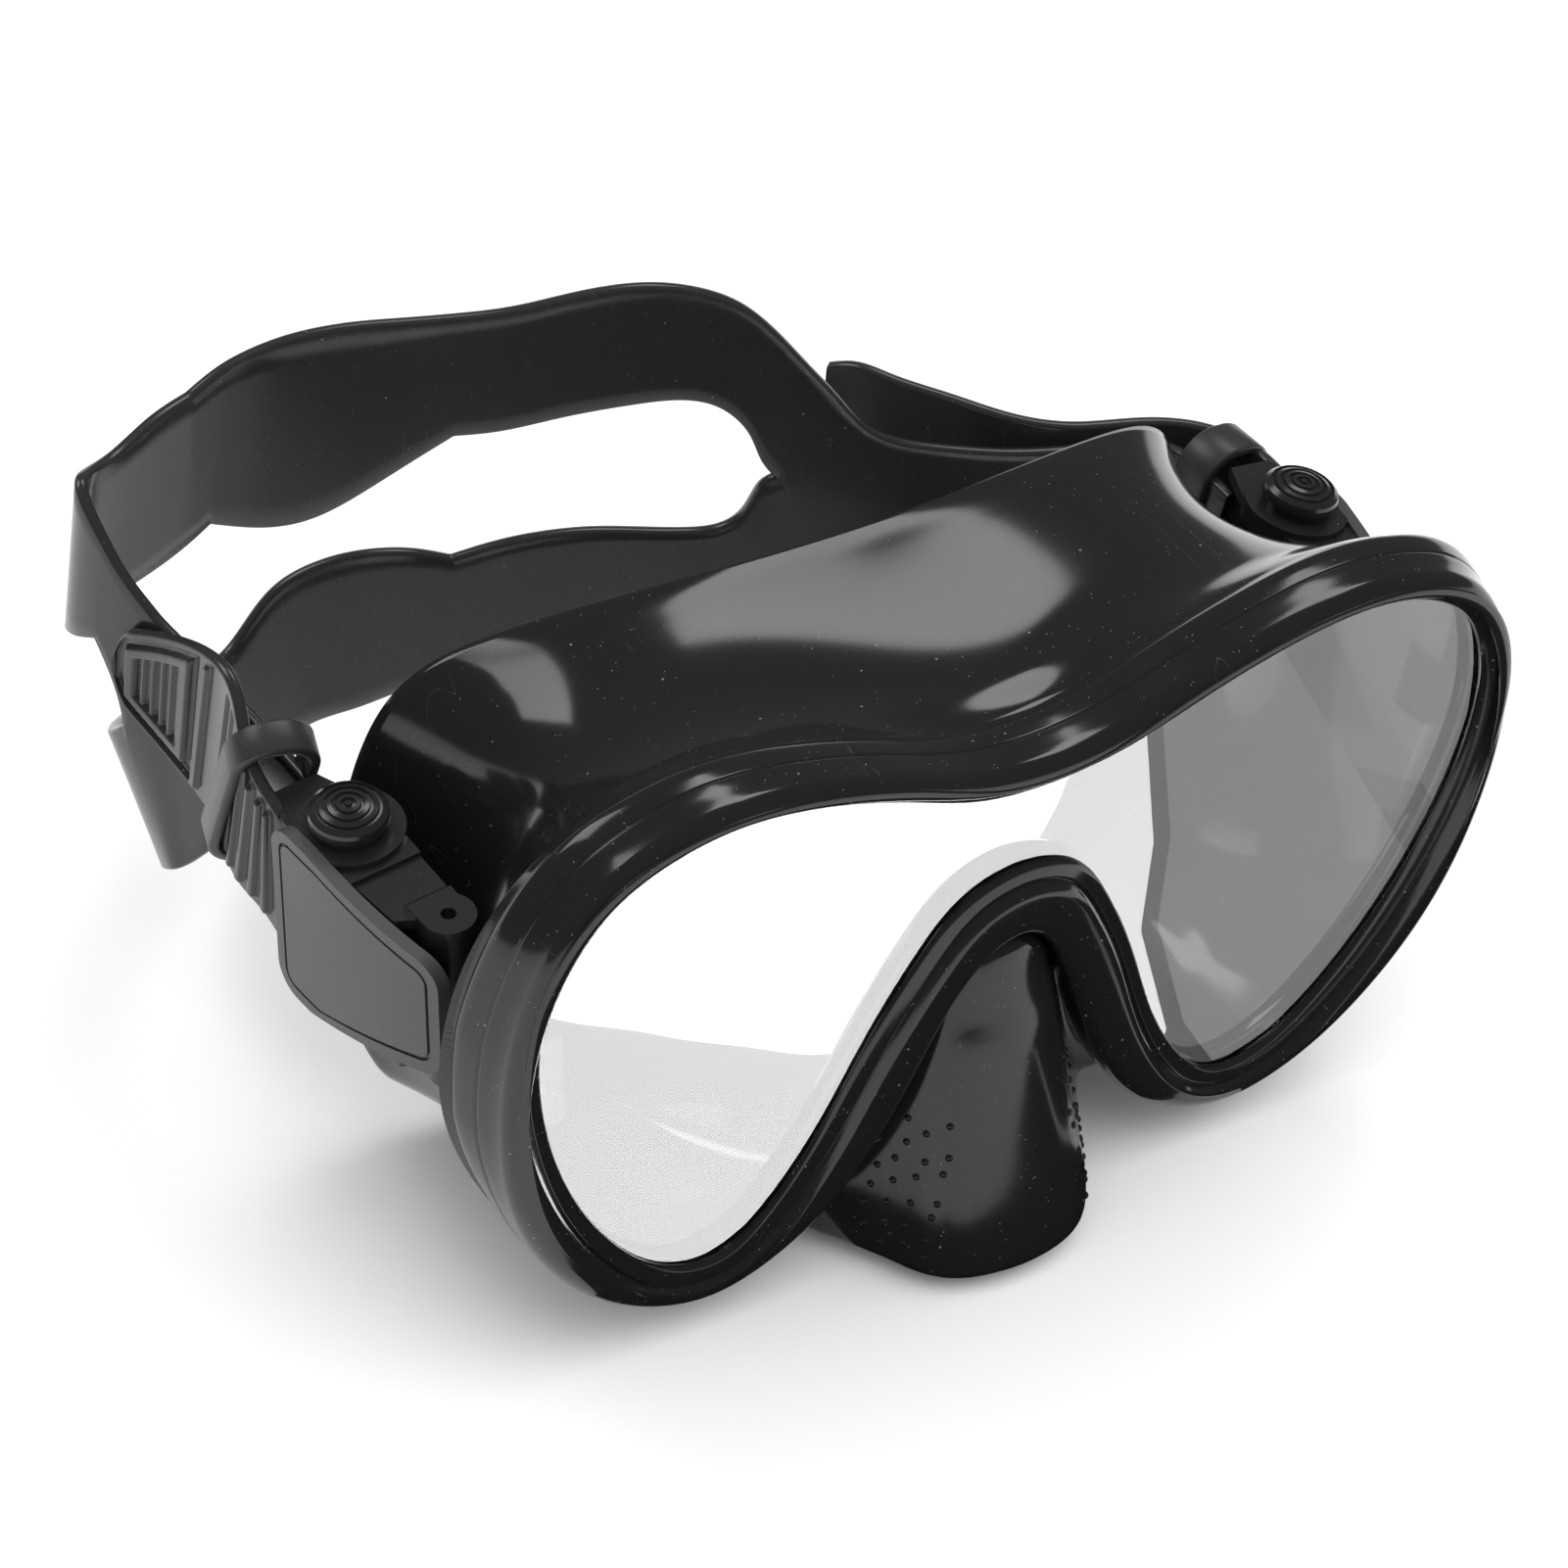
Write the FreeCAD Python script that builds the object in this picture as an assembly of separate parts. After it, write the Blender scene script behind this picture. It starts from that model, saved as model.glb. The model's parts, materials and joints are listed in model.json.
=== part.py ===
import FreeCAD, Part
import math
import os

# A frameless diving mask: one tempered lens moulded into a silicone skirt, a split silicone
# head strap, and a quick-release buckle on a hinge at each temple.
#
# Frame in mm: +Z is up, the lens faces -Y, the wearer's left is +X. The front rim is modelled
# about the lens plane y = 0, and everything is moved by -SEAL_Y at the end, so that the origin
# lies in the middle of the face opening.

V = FreeCAD.Vector

# ---------------------------------------------------------------- driving dimensions
LENS_THICK = 4.0          # tempered glass
LENS_FRONT = 0.5          # y of the lens's front face
LENS_EDGE = 2.6           # glass held in the rim's groove beyond the window
RIM_FRONT = -2.5          # y of the rim's front face
RIM_BACK = 8.0            # y of the rim's back, where the skirt's wall starts
WALL = 2.4                # skirt wall
SEAL_THICK = 3.0          # face seal flange
SEAL_Y = 50.0             # depth of the face opening's centre behind the lens plane
WAIST_Y = 24.0            # depth of the narrowest skirt section
CHEEK_Y = 42.0
FLARE_Y = 64.0

PIVOT_O = 72.5            # hinge axis: distance outward from the mirror plane
PIVOT_Y = 24.0            # hinge axis: depth behind the lens plane
BUCKLE_Z = 2.5            # height of the buckle's middle
BUCKLE_ROLL = 8.0         # degrees that the hinge axis leans outward at its top
HINGE_PIN_R = 1.0
RUNNING = 0.05            # radial running clearance

STRAP_THICK = 1.8
STRAP_HALF = 11.5         # half width of the ribbed tail and of the part inside the buckle
ROLLER_Y = 52.0
ROLLER_R = 2.4
STRAP_GAP = 0.2           # strap to roller
BUTTON_Y = 44.0
BUTTON_R = 5.4
BUTTON_TRAVEL = 1.2
BUTTON_TOP = 19.4         # top of the upper button above the buckle's middle
PAD_TOP = 15.2            # top of the pad that the button stands on
PLUNGER_END = 8.2         # end of the button's stem, above the pawl by more than the travel
KEEPER_Y = {1: 58.5, -1: 64.0}   # the loops stand at different places along the two tails
KEEPER_WIDTH = 6.5

# Half outlines (x, z), from the middle of the brow down the side to the nose arch. The other
# half is the mirror image.
WINDOW = [(0, 28.7), (10, 29.9), (22, 34.3), (35, 38.4), (48, 40.3), (60, 38.8), (69, 33.5),
          (74.2, 24), (75.2, 12), (72.8, -1), (67.3, -15), (58, -29), (47, -37.2), (40, -37.2),
          (33.5, -31.5), (27, -20.5), (21.5, -7.5), (15, 5), (8, 13)]
WINDOW_END = (0, 15.2)
RIM = [(0, 34.5), (10, 35.6), (22, 39.6), (35, 43.6), (49, 45.6), (60.5, 43.8), (70.2, 38.6),
       (77.2, 28), (80.4, 13.5), (79.7, -2), (75.4, -17.5), (66, -32), (52.5, -41.8), (42.5, -43.9),
       (32, -40.6), (22.7, -32.5), (15.5, -20), (10.5, -8), (5.5, 0.5)]
RIM_END = (0, 3.5)

# Half sections of the skirt's outside (x, z) at four depths, brow to upper lip.
SECTION_RIM = [(0, 33), (22, 38), (42, 43), (60, 43), (74, 36), (81, 18), (79.5, -1), (72.5, -18),
               (61, -33.5), (44, -43.5), (22, -43.5)]
SECTION_WAIST = [(0, 32.5), (20, 34.5), (38, 36.5), (52, 35), (60.5, 27.5), (64, 14), (64.5, 0),
                 (62, -15), (55, -29), (41, -39), (20, -42)]
SECTION_CHEEK = [(0, 36.5), (20, 36.5), (37, 35), (51, 31.5), (59, 24), (62.5, 12), (63, -1),
                 (60.5, -15), (54, -29), (40, -39.5), (20, -43)]
SECTION_FLARE = [(0, 41), (20, 40), (40, 37.5), (55, 32.5), (64, 24.5), (68.5, 12), (69.5, -1),
                 (67, -16), (60, -30), (45, -41), (22, -45)]
SECTION_ENDS = [(0, -43), (0, -43), (0, -44), (0, -45.5)]

# Opening of the face seal (x, z).
SEAL_OPENING = [(0, 26), (22, 26), (42, 22.5), (53, 12), (56, -1), (52, -14), (41, -26), (22, -32)]
SEAL_OPENING_END = (0, -34)

# The wearer's face, as depth y at x = 0, 25, 45, 65 and 90, for four heights z.
FACE = [(70, (44, 46.5, 51, 57.5, 68)), (20, (46, 48, 52, 57, 68)),
        (-20, (36, 42, 50, 57, 68)), (-70, (27, 32, 44, 56, 68))]
FACE_X = (0, 25, 45, 65, 90)

LIP_Y = 40.0              # the pocket's floor runs back to the upper lip, inside this depth
# Nose pocket, horizontal sections: height z, then half points (x, y) from the ridge back.
NOSE = [(4, [(0, -1.5), (6, -0.4), (9, 3.5), (10, 9)]),
        (-14, [(0, -5.6), (7, -4.4), (11.5, 0.5), (15.5, 9)]),
        (-30, [(0, -10), (8.5, -8.8), (13.5, -3.5), (21, 9)]),
        (-42, [(0, -13.3), (9.5, -12), (15, -6.5), (25.5, 9)]),
        (-47.5, [(0, -10), (7.5, -9), (12.5, -4.5), (21, 9)])]


# ---------------------------------------------------------------- helpers
def box(x0, x1, y0, y1, z0, z1):
    return Part.makeBox(x1 - x0, y1 - y0, z1 - z0, V(x0, y0, z0))


def rod(x, y, radius, z0, z1):
    return Part.makeCylinder(radius, z1 - z0, V(x, y, z0))


def spline(points, closed=False):
    curve = Part.BSplineCurve()
    curve.interpolate(points, PeriodicFlag=closed)
    return curve.toShape()


def mirrored_loop(half, end):
    """All points of a loop that is symmetric about x = 0, from its right half."""
    right = list(half) + [end]
    left = [(-x, z) for x, z in reversed(half[1:])]
    return right + left


def grown(loop, amount):
    """The loop moved outward by amount; it runs clockwise seen from the front."""
    moved = []
    count = len(loop)
    for i, (x, z) in enumerate(loop):
        x0, z0 = loop[i - 1]
        x1, z1 = loop[(i + 1) % count]
        length = math.hypot(x1 - x0, z1 - z0)
        moved.append((x - (z1 - z0) / length * amount, z + (x1 - x0) / length * amount))
    return moved


def wire_at(loop, y):
    return Part.Wire(spline([V(x, y, z) for x, z in loop], closed=True))


def slab(loop, y0, y1):
    return Part.Face(wire_at(loop, y0)).extrude(V(0, y1 - y0, 0))


def prism(points, direction):
    """A closed polygon of points, extruded."""
    return Part.Face(Part.makePolygon(points + [points[0]])).extrude(direction)


def rounded(shape, radius, chosen):
    """Fillet the edges that the function chosen picks."""
    edges = [edge for edge in shape.Edges if chosen(edge)]
    return shape.makeFillet(radius, edges)


def place(shape, side):
    """Buckle shapes are drawn outward along +X about the upright hinge axis, then leaned and
    mirrored: side is 1 for the wearer's left and -1 for the right."""
    leaned = shape.copy()
    leaned.rotate(V(PIVOT_O, PIVOT_Y, BUCKLE_Z), V(0, 1, 0), BUCKLE_ROLL)
    if side < 0:
        leaned = leaned.mirror(V(0, 0, 0), V(1, 0, 0))
    return leaned


def save(name, shape):
    solids = shape.Solids
    shape = solids[0] if len(solids) == 1 else Part.makeCompound(solids)
    moved = shape.copy()
    moved.translate(V(0, -SEAL_Y, 0))
    moved.exportStep("parts/" + name + ".step")
    b = moved.BoundBox
    print(f"{name:26s} solids {len(solids)} valid {moved.isValid()} volume {moved.Volume:9.1f}"
          f"  x {b.XMin:7.1f} {b.XMax:7.1f}  y {b.YMin:7.1f} {b.YMax:7.1f}"
          f"  z {b.ZMin:7.1f} {b.ZMax:7.1f}")


# ---------------------------------------------------------------- lens and skirt
def make_lens():
    loop = grown(mirrored_loop(WINDOW, WINDOW_END), LENS_EDGE)
    return slab(loop, LENS_FRONT, LENS_FRONT + LENS_THICK)


def make_rim():
    rim = slab(mirrored_loop(RIM, RIM_END), RIM_FRONT, RIM_BACK)
    return rounded(rim, 2.8, lambda edge: edge.BoundBox.YMax < RIM_FRONT + 0.1)


def skirt_loft(amount, start):
    halves = [SECTION_RIM, SECTION_WAIST, SECTION_CHEEK, SECTION_FLARE]
    depths = [start, WAIST_Y, CHEEK_Y, FLARE_Y]
    wires = []
    for half, end, depth in zip(halves, SECTION_ENDS, depths):
        wires.append(wire_at(grown(mirrored_loop(half, end), amount), depth))
    return Part.makeLoft(wires, True, False)


def face_volume(shift):
    """Everything behind the wearer's face, moved by shift along y."""
    wires = []
    for z, depths in FACE:
        front = [V(x, y + shift, z) for x, y in zip(FACE_X, depths)]
        left = [V(-p.x, p.y, p.z) for p in reversed(front[1:])]
        curve = spline(left + front)
        end = front[-1]
        back = [end, V(end.x, 120, z), V(-end.x, 120, z), left[0]]
        wires.append(Part.Wire([curve] + Part.makePolygon(back).Edges))
    return Part.makeLoft(wires, True, False)


def nose_loft(inset):
    """The pocket from its ridge back to the upper lip, smaller all round by inset."""
    wires = []
    for z, half in NOSE:
        height = z + (inset if z == NOSE[-1][0] else 0)
        right = [V(max(x - inset, 0), y + inset, height) for x, y in half]
        left = [V(-p.x, p.y, p.z) for p in reversed(right[1:])]
        back = [right[-1], V(right[-1].x, LIP_Y, height), V(left[0].x, LIP_Y, height), left[0]]
        wires.append(Part.Wire([spline(left + right)] + Part.makePolygon(back).Edges))
    return Part.makeLoft(wires, True, False)


def make_skirt(lens, anchors):
    rim = make_rim()
    body = skirt_loft(0, RIM_BACK - 2.0).fuse(nose_loft(0)).cut(face_volume(0)).fuse(rim)
    front_wall = box(-200, 200, -100, RIM_BACK + 1.0, -200, 200)
    cavity = skirt_loft(-WALL, RIM_BACK - 2.0).cut(front_wall).fuse(nose_loft(WALL))
    cavity = cavity.cut(face_volume(-SEAL_THICK))
    opening = slab(mirrored_loop(SEAL_OPENING, SEAL_OPENING_END), WAIST_Y, FLARE_Y + 20)
    window = slab(mirrored_loop(WINDOW, WINDOW_END), RIM_FRONT - 1, RIM_BACK + 1.5)
    for hollow in (cavity, opening, window, lens):
        body = body.cut(hollow)
    for anchor in anchors:
        body = body.cut(anchor)
    return max(body.Solids, key=lambda solid: solid.Volume)


# ---------------------------------------------------------------- hinge
def make_anchor(bored=True):
    """Hard lug moulded into the skirt behind the rim, with the hinge barrel."""
    z0, z1 = BUCKLE_Z - 6.0, BUCKLE_Z + 6.0
    lug = rod(PIVOT_O, PIVOT_Y, 3.2, z0, z1)
    web = box(PIVOT_O - 2.2, PIVOT_O - 0.1, RIM_BACK - 2.5, PIVOT_Y, z0, z1)
    foot = box(PIVOT_O - 4.0, PIVOT_O + 4.0, RIM_BACK - 2.5, RIM_BACK - 0.3, z0 - 2, z1 + 2)
    lug = lug.fuse(web).fuse(foot)
    if bored:
        lug = lug.cut(rod(PIVOT_O, PIVOT_Y, HINGE_PIN_R, z0 - 1, z1 + 1))
    return lug.removeSplitter()


def make_hinge_pin():
    return rod(PIVOT_O, PIVOT_Y, HINGE_PIN_R, BUCKLE_Z - 12.4, BUCKLE_Z + 12.4)


# ---------------------------------------------------------------- buckle, drawn about z = 0
WALL_IN = 12.0            # inner faces of the buckle's upper and lower walls
WALL_OUT = 13.6           # outer faces of the walls
PIN_HALF = 13.0           # half length of the roller's and the pawl's pins
PLATE_IN = PIVOT_O - 2.9  # inner face of the base plate
ROLLER_O = PIVOT_O + 3.8
RUN_IN = ROLLER_O - ROLLER_R - STRAP_GAP - STRAP_THICK / 2   # strap's inner run, middle
RUN_OUT = ROLLER_O + ROLLER_R + STRAP_GAP + STRAP_THICK / 2  # strap's outer run, middle
BUTTON_O = PIVOT_O + 2.6
PAWL_O = PIVOT_O + 4.0
PAWL_Y = 39.6
COVER_REAR = RUN_OUT + STRAP_THICK / 2 + 0.6  # inner face of the cover at its rear


def both_ends(shape):
    """The shape and its mirror image about the buckle's middle."""
    return [shape, shape.mirror(V(0, 0, 0), V(0, 0, 1))]


def at_middle(shape):
    moved = shape.copy()
    moved.translate(V(0, 0, BUCKLE_Z))
    return moved


def make_base():
    plate = box(PLATE_IN, PLATE_IN + 1.8, 27.5, 47.0, -WALL_OUT, WALL_OUT)
    body = plate
    wall = prism([V(PLATE_IN, 30, WALL_IN), V(PLATE_IN, 48, WALL_IN), V(ROLLER_O - 3.3, 56, WALL_IN),
                  V(ROLLER_O + 3.6, 56, WALL_IN), V(COVER_REAR, 50, WALL_IN),
                  V(PIVOT_O + 6.2, 27.5, WALL_IN), V(PIVOT_O + 3.6, 26, WALL_IN)],
                 V(0, 0, WALL_OUT - WALL_IN))
    ear = rod(PIVOT_O, PIVOT_Y, 3.7, 6.15, WALL_OUT + 0.9)
    ear = ear.fuse(box(PLATE_IN, PIVOT_O + 3.7, PIVOT_Y, 31.0, 6.15, WALL_OUT + 0.9))
    slope = prism([V(60, 29.2, WALL_OUT), V(60, 31.5, WALL_OUT), V(60, 31.5, WALL_OUT + 1),
                   V(60, 28.0, WALL_OUT + 1)], V(30, 0, 0))
    pad = rod(BUTTON_O, BUTTON_Y, 7.4, WALL_IN, PAD_TOP)
    ledge = box(BUTTON_O - 5.6, BUTTON_O + 5.6, 35.6, BUTTON_Y, WALL_IN, PAD_TOP - 0.9)
    pad = pad.fuse(ledge)
    recess = rod(BUTTON_O, BUTTON_Y, 4.7, PAD_TOP - 2.2, PAD_TOP + 1)
    bore = rod(BUTTON_O, BUTTON_Y, 1.9 + RUNNING, WALL_IN - 1, PAD_TOP)
    for wall_half in both_ends(wall.fuse(ear.cut(slope)).fuse(pad)):
        body = body.fuse(wall_half)
    for cut in both_ends(recess) + both_ends(bore):
        body = body.cut(cut)
    body = body.cut(cover_slab(-30, 30 + COVER_THICK, -5))
    body = body.cut(rod(PIVOT_O, PIVOT_Y, HINGE_PIN_R + RUNNING, -20, 20))
    body = body.cut(rod(ROLLER_O, ROLLER_Y, 0.8, -PIN_HALF, PIN_HALF))
    body = body.cut(rod(PAWL_O, PAWL_Y, 0.8, -PIN_HALF, PIN_HALF))
    return body.removeSplitter()


def make_button():
    """Upper button, domed, with raised rings and a plunger."""
    top = BUTTON_TOP
    rings = 4
    pitch = BUTTON_R / (rings + 0.6)
    profile = [V(0, 0, top)]
    for ring in range(rings):
        radius = pitch * (ring + 0.55)
        height = top - 0.35 * (radius / BUTTON_R) ** 2 * 3.0
        profile.append(V(radius - 0.22, 0, height))
        profile.append(V(radius - 0.10, 0, height - 0.35))
        profile.append(V(radius + 0.26, 0, height - 0.40))
        profile.append(V(radius + 0.38, 0, height - 0.05))
    profile.append(V(BUTTON_R - 0.15, 0, top - 1.25))
    profile.append(V(BUTTON_R, 0, top - 1.8))
    profile.append(V(BUTTON_R, 0, PAD_TOP + 1.55))
    profile.append(V(BUTTON_R - 0.3, 0, PAD_TOP + 1.3))
    profile.append(V(4.65, 0, PAD_TOP + 1.3))
    profile.append(V(4.65, 0, PAD_TOP - 0.8))
    profile.append(V(3.6, 0, PAD_TOP - 0.8))
    profile.append(V(3.6, 0, PAD_TOP + 1.6))
    profile.append(V(1.9, 0, PAD_TOP + 1.6))
    profile.append(V(1.9, 0, PLUNGER_END))
    profile.append(V(0, 0, PLUNGER_END))
    face = Part.Face(Part.makePolygon(profile + [profile[0]]))
    button = face.revolve(V(0, 0, 0), V(0, 0, 1), 360)
    button.translate(V(BUTTON_O, BUTTON_Y, 0))
    return button


def make_button_spring():
    """Rubber sleeve between the recess's floor and the button, round its stem; it pushes back."""
    bottom, top = PAD_TOP - 2.2 + 0.05, PAD_TOP + 1.6 - 0.05
    return rod(BUTTON_O, BUTTON_Y, 3.1, bottom, top).cut(rod(BUTTON_O, BUTTON_Y, 2.3, bottom - 1, top + 1))


def make_pawl():
    """Rocker whose toothed nose grips the strap where it turns round the roller."""
    hub = rod(PAWL_O, PAWL_Y, 1.7, -6.6, 6.6)
    arm = prism([V(PAWL_O - 1.2, PAWL_Y, -6.6), V(PAWL_O - 0.1, PAWL_Y + 6.6, -6.6),
                 V(PAWL_O + 1.0, PAWL_Y + 8.1, -6.6), V(PAWL_O + 1.6, PAWL_Y + 6.6, -6.6),
                 V(PAWL_O + 1.6, PAWL_Y, -6.6)], V(0, 0, 13.2))
    heel = prism([V(PAWL_O - 0.9, PAWL_Y, -5), V(PAWL_O - 0.9, PAWL_Y - 5.2, -5),
                  V(PAWL_O + 0.7, PAWL_Y - 5.2, -5), V(PAWL_O + 0.7, PAWL_Y, -5)], V(0, 0, 10))
    pawl = hub.fuse(arm).fuse(heel)
    return pawl.cut(rod(PAWL_O, PAWL_Y, 0.8 + RUNNING, -20, 20)).removeSplitter()


def make_pawl_spring():
    """Bent leaf between the base plate and the pawl's heel."""
    root = PLATE_IN + 1.8
    points = [V(root, 30.2, -3), V(root + 0.35, 30.2, -3), V(root + 0.35, 33.0, -3),
              V(PAWL_O - 0.95, 36.6, -3), V(PAWL_O - 1.3, 36.9, -3), V(root, 33.3, -3)]
    return prism(points, V(0, 0, 6))


def make_pin(o, y):
    return rod(o, y, 0.8, -PIN_HALF, PIN_HALF)


def make_roller():
    body = rod(ROLLER_O, ROLLER_Y, ROLLER_R, 0.3 - WALL_IN, WALL_IN - 0.3)
    return body.cut(rod(ROLLER_O, ROLLER_Y, 0.8 + RUNNING, -20, 20))


def make_keeper(y0):
    o0, o1 = RUN_IN - 1.2, RUN_OUT + 1.3
    half = STRAP_HALF + 0.9
    y1 = y0 + KEEPER_WIDTH
    outer = box(o0 - 1.7, o1 + 1.7, y0, y1, -half - 1.7, half + 1.7)
    outer = rounded(outer, 3.4, lambda edge: edge.BoundBox.YLength > KEEPER_WIDTH - 0.1)
    inner = box(o0, o1, y0 - 1, y1 + 1, -half, half)
    inner = rounded(inner, 1.6, lambda edge: edge.BoundBox.YLength > KEEPER_WIDTH)
    ring = outer.cut(inner)
    return ring


COVER_FRONT_Y = 17.6
COVER_REAR_Y = 50.5
COVER_FRONT_O = PIVOT_O + 6.0   # outer face at the front end
COVER_THICK = 1.9
COVER_CORNER_R = 4.2


def cover_outline(inset):
    """Side view of the cover, 120 mm thick: tall at the strap, lower and raised at the hinge."""
    front, rear = COVER_FRONT_Y + inset, COVER_REAR_Y - inset
    top, bottom = 15.4 - inset, 14.6 - inset
    front_top, front_bottom = 12.1 - inset, 7.4 - inset
    corners = [V(0, front, -front_bottom), V(0, rear - 7.5, -bottom), V(0, rear, -bottom),
               V(0, rear, top), V(0, rear - 8, top), V(0, front, front_top)]
    block = Part.Face(Part.makePolygon(corners + corners[:1])).extrude(V(120, 0, 0))
    return rounded(block, min(COVER_CORNER_R, COVER_CORNER_R - inset), lambda edge: edge.BoundBox.XLength > 100)


def cover_slab(outer_offset, thickness, inset):
    """The cover's curved skin between two depths below its outer face, cut to its outline."""
    front, middle, rear = COVER_FRONT_O, COVER_REAR + 0.5, COVER_REAR + COVER_THICK
    outer = [V(front - 0.6 - outer_offset, COVER_FRONT_Y - 1, 0), V(front + 0.5 - outer_offset, 20, 0),
             V(middle - outer_offset, 33, 0), V(rear - outer_offset, COVER_REAR_Y + 1, 0)]
    inner = [V(p.x - thickness, p.y, 0) for p in outer]
    edges = [spline(outer), Part.makeLine(outer[-1], inner[-1]), spline(inner),
             Part.makeLine(inner[0], outer[0])]
    skin = Part.Face(Part.Wire(Part.__sortEdges__(edges))).extrude(V(0, 0, 60))
    skin.translate(V(0, 0, -30))
    return skin.common(cover_outline(inset))


def make_cover():
    cover = cover_slab(0, COVER_THICK, 0)
    groove = cover_slab(-1, 1.45, 1.7).cut(cover_slab(-2, 4, 2.2))
    cover = cover.cut(groove)
    return cover


def make_strap_end(run_length):
    """Strap inside the buckle: inner run, turn round the roller, outer run and ribbed tail."""
    half = STRAP_THICK / 2
    turn_r = ROLLER_R + STRAP_GAP + half
    outer = rod(ROLLER_O, ROLLER_Y, turn_r + half, -STRAP_HALF, STRAP_HALF)
    inner = rod(ROLLER_O, ROLLER_Y, turn_r - half, -20, 20)
    turn = outer.cut(inner).cut(box(0, 200, ROLLER_Y, 200, -30, 30))
    run_in = box(RUN_IN - half, RUN_IN + half, ROLLER_Y, ROLLER_Y + run_length, -STRAP_HALF, STRAP_HALF)
    tail = box(RUN_OUT - half, RUN_OUT + half, ROLLER_Y, 92, -STRAP_HALF, STRAP_HALF)
    tail = rounded(tail, 6.0, lambda edge: edge.BoundBox.YMin > 91.9 and edge.BoundBox.XLength > 1)
    return turn.fuse(run_in).fuse(tail)


# ---------------------------------------------------------------- head strap behind the buckles
# Plan curve of the strap (x, y), from the right buckle round the back to the left one, with the
# heights of the upper band's and the lower band's edges: top, split top, split bottom, bottom.
STRAP = [(-72.9, 71.5, 12.5, 2, 2, -8), (-74.6, 80, 14, 1, 1, -14), (-77.5, 88, 17, -1, -1, -20),
         (-80.5, 95.5, 22, 3, -5, -23), (-82.6, 101.5, 28, 8, -9, -26), (-82, 106.5, 30.4, 5.5, -12, -29),
         (-77, 110.6, 29, 4, -14, -33), (-68, 113.8, 29.5, 3.4, -17, -36), (-57, 117, 32, 5.5, -17, -37),
         (-45, 117.6, 34, 2.5, -12, -36), (-33, 114.7, 35, 5, -6, -34), (-20, 110.3, 35.3, 15, -7, -29),
         (-8, 106, 37, 16.5, -5, -24), (3, 102, 38.8, 18.8, -4, -18), (12, 98.6, 37, 19, -4.5, -14.5),
         (18.5, 95.3, 33, 14, -1, -13), (23, 93, 28, 4, 4, -12.5), (30, 89, 19, 4, 4, -11.5),
         (38, 84.5, 12.6, 3, 3, -10.5), (54, 77, 11, 2, 2, -8.5), (66, 72.3, 11.5, 2, 2, -7.8),
         (72, 69.5, 12, 2, 2, -7.6)]


def band(first, last, top, bottom):
    """Upright band of the strap's thickness from one station to another, between two heights."""
    half = STRAP_THICK / 2
    wires = []
    for i in range(first, last + 1):
        x, y = STRAP[i][:2]
        x0, y0 = STRAP[max(i - 1, 0)][:2]
        x1, y1 = STRAP[min(i + 1, len(STRAP) - 1)][:2]
        length = math.hypot(x1 - x0, y1 - y0)
        dx, dy = (y1 - y0) / length * half, (x0 - x1) / length * half
        z1, z0 = STRAP[i][top], STRAP[i][bottom]
        corners = [V(x + dx, y + dy, z0), V(x - dx, y - dy, z0), V(x - dx, y - dy, z1), V(x + dx, y + dy, z1)]
        wires.append(Part.makePolygon(corners + [corners[0]]))
    return Part.makeLoft(wires, True, True)


def make_strap():
    split = [i for i, station in enumerate(STRAP) if station[3] > station[4]]
    first, last = split[0] - 1, split[-1] + 1
    strap = band(first, last, 2, 3)
    for part in (band(first, last, 4, 5), band(0, first, 2, 5), band(last, len(STRAP) - 1, 2, 5)):
        strap = strap.fuse(part)
    for side, run_length in ((-1, 23), (1, 20)):
        strap = strap.fuse(place(at_middle(make_strap_end(run_length)), side))
    return max(strap.Solids, key=lambda solid: solid.Volume)


# ---------------------------------------------------------------- build everything
os.makedirs("parts", exist_ok=True)

lens = make_lens()
anchors = {side: place(make_anchor(), side) for side in (1, -1)}
filled = [place(make_anchor(bored=False), side) for side in (1, -1)]
save("lens", lens)
save("skirt", make_skirt(lens, filled))
save("head_strap", make_strap())
for side, name in ((1, "left"), (-1, "right")):
    save("buckle_anchor_" + name, anchors[side])
    save("hinge_pin_" + name, place(make_hinge_pin(), side))
    pieces = {"buckle_base": make_base(),
              "buckle_cover": make_cover(),
              "upper_button": make_button(),
              "lower_button": both_ends(make_button())[1],
              "upper_button_spring": make_button_spring(),
              "lower_button_spring": both_ends(make_button_spring())[1],
              "pawl": make_pawl(),
              "pawl_pin": make_pin(PAWL_O, PAWL_Y),
              "pawl_spring": make_pawl_spring(),
              "strap_roller": make_roller(),
              "roller_axle": make_pin(ROLLER_O, ROLLER_Y),
              "keeper_loop": make_keeper(KEEPER_Y[side])}
    for piece, shape in pieces.items():
        save(piece + "_" + name, place(at_middle(shape), side))
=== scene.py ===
import json
import math
import bmesh
import bpy
import numpy as np
from mathutils import Matrix, Vector


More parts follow.
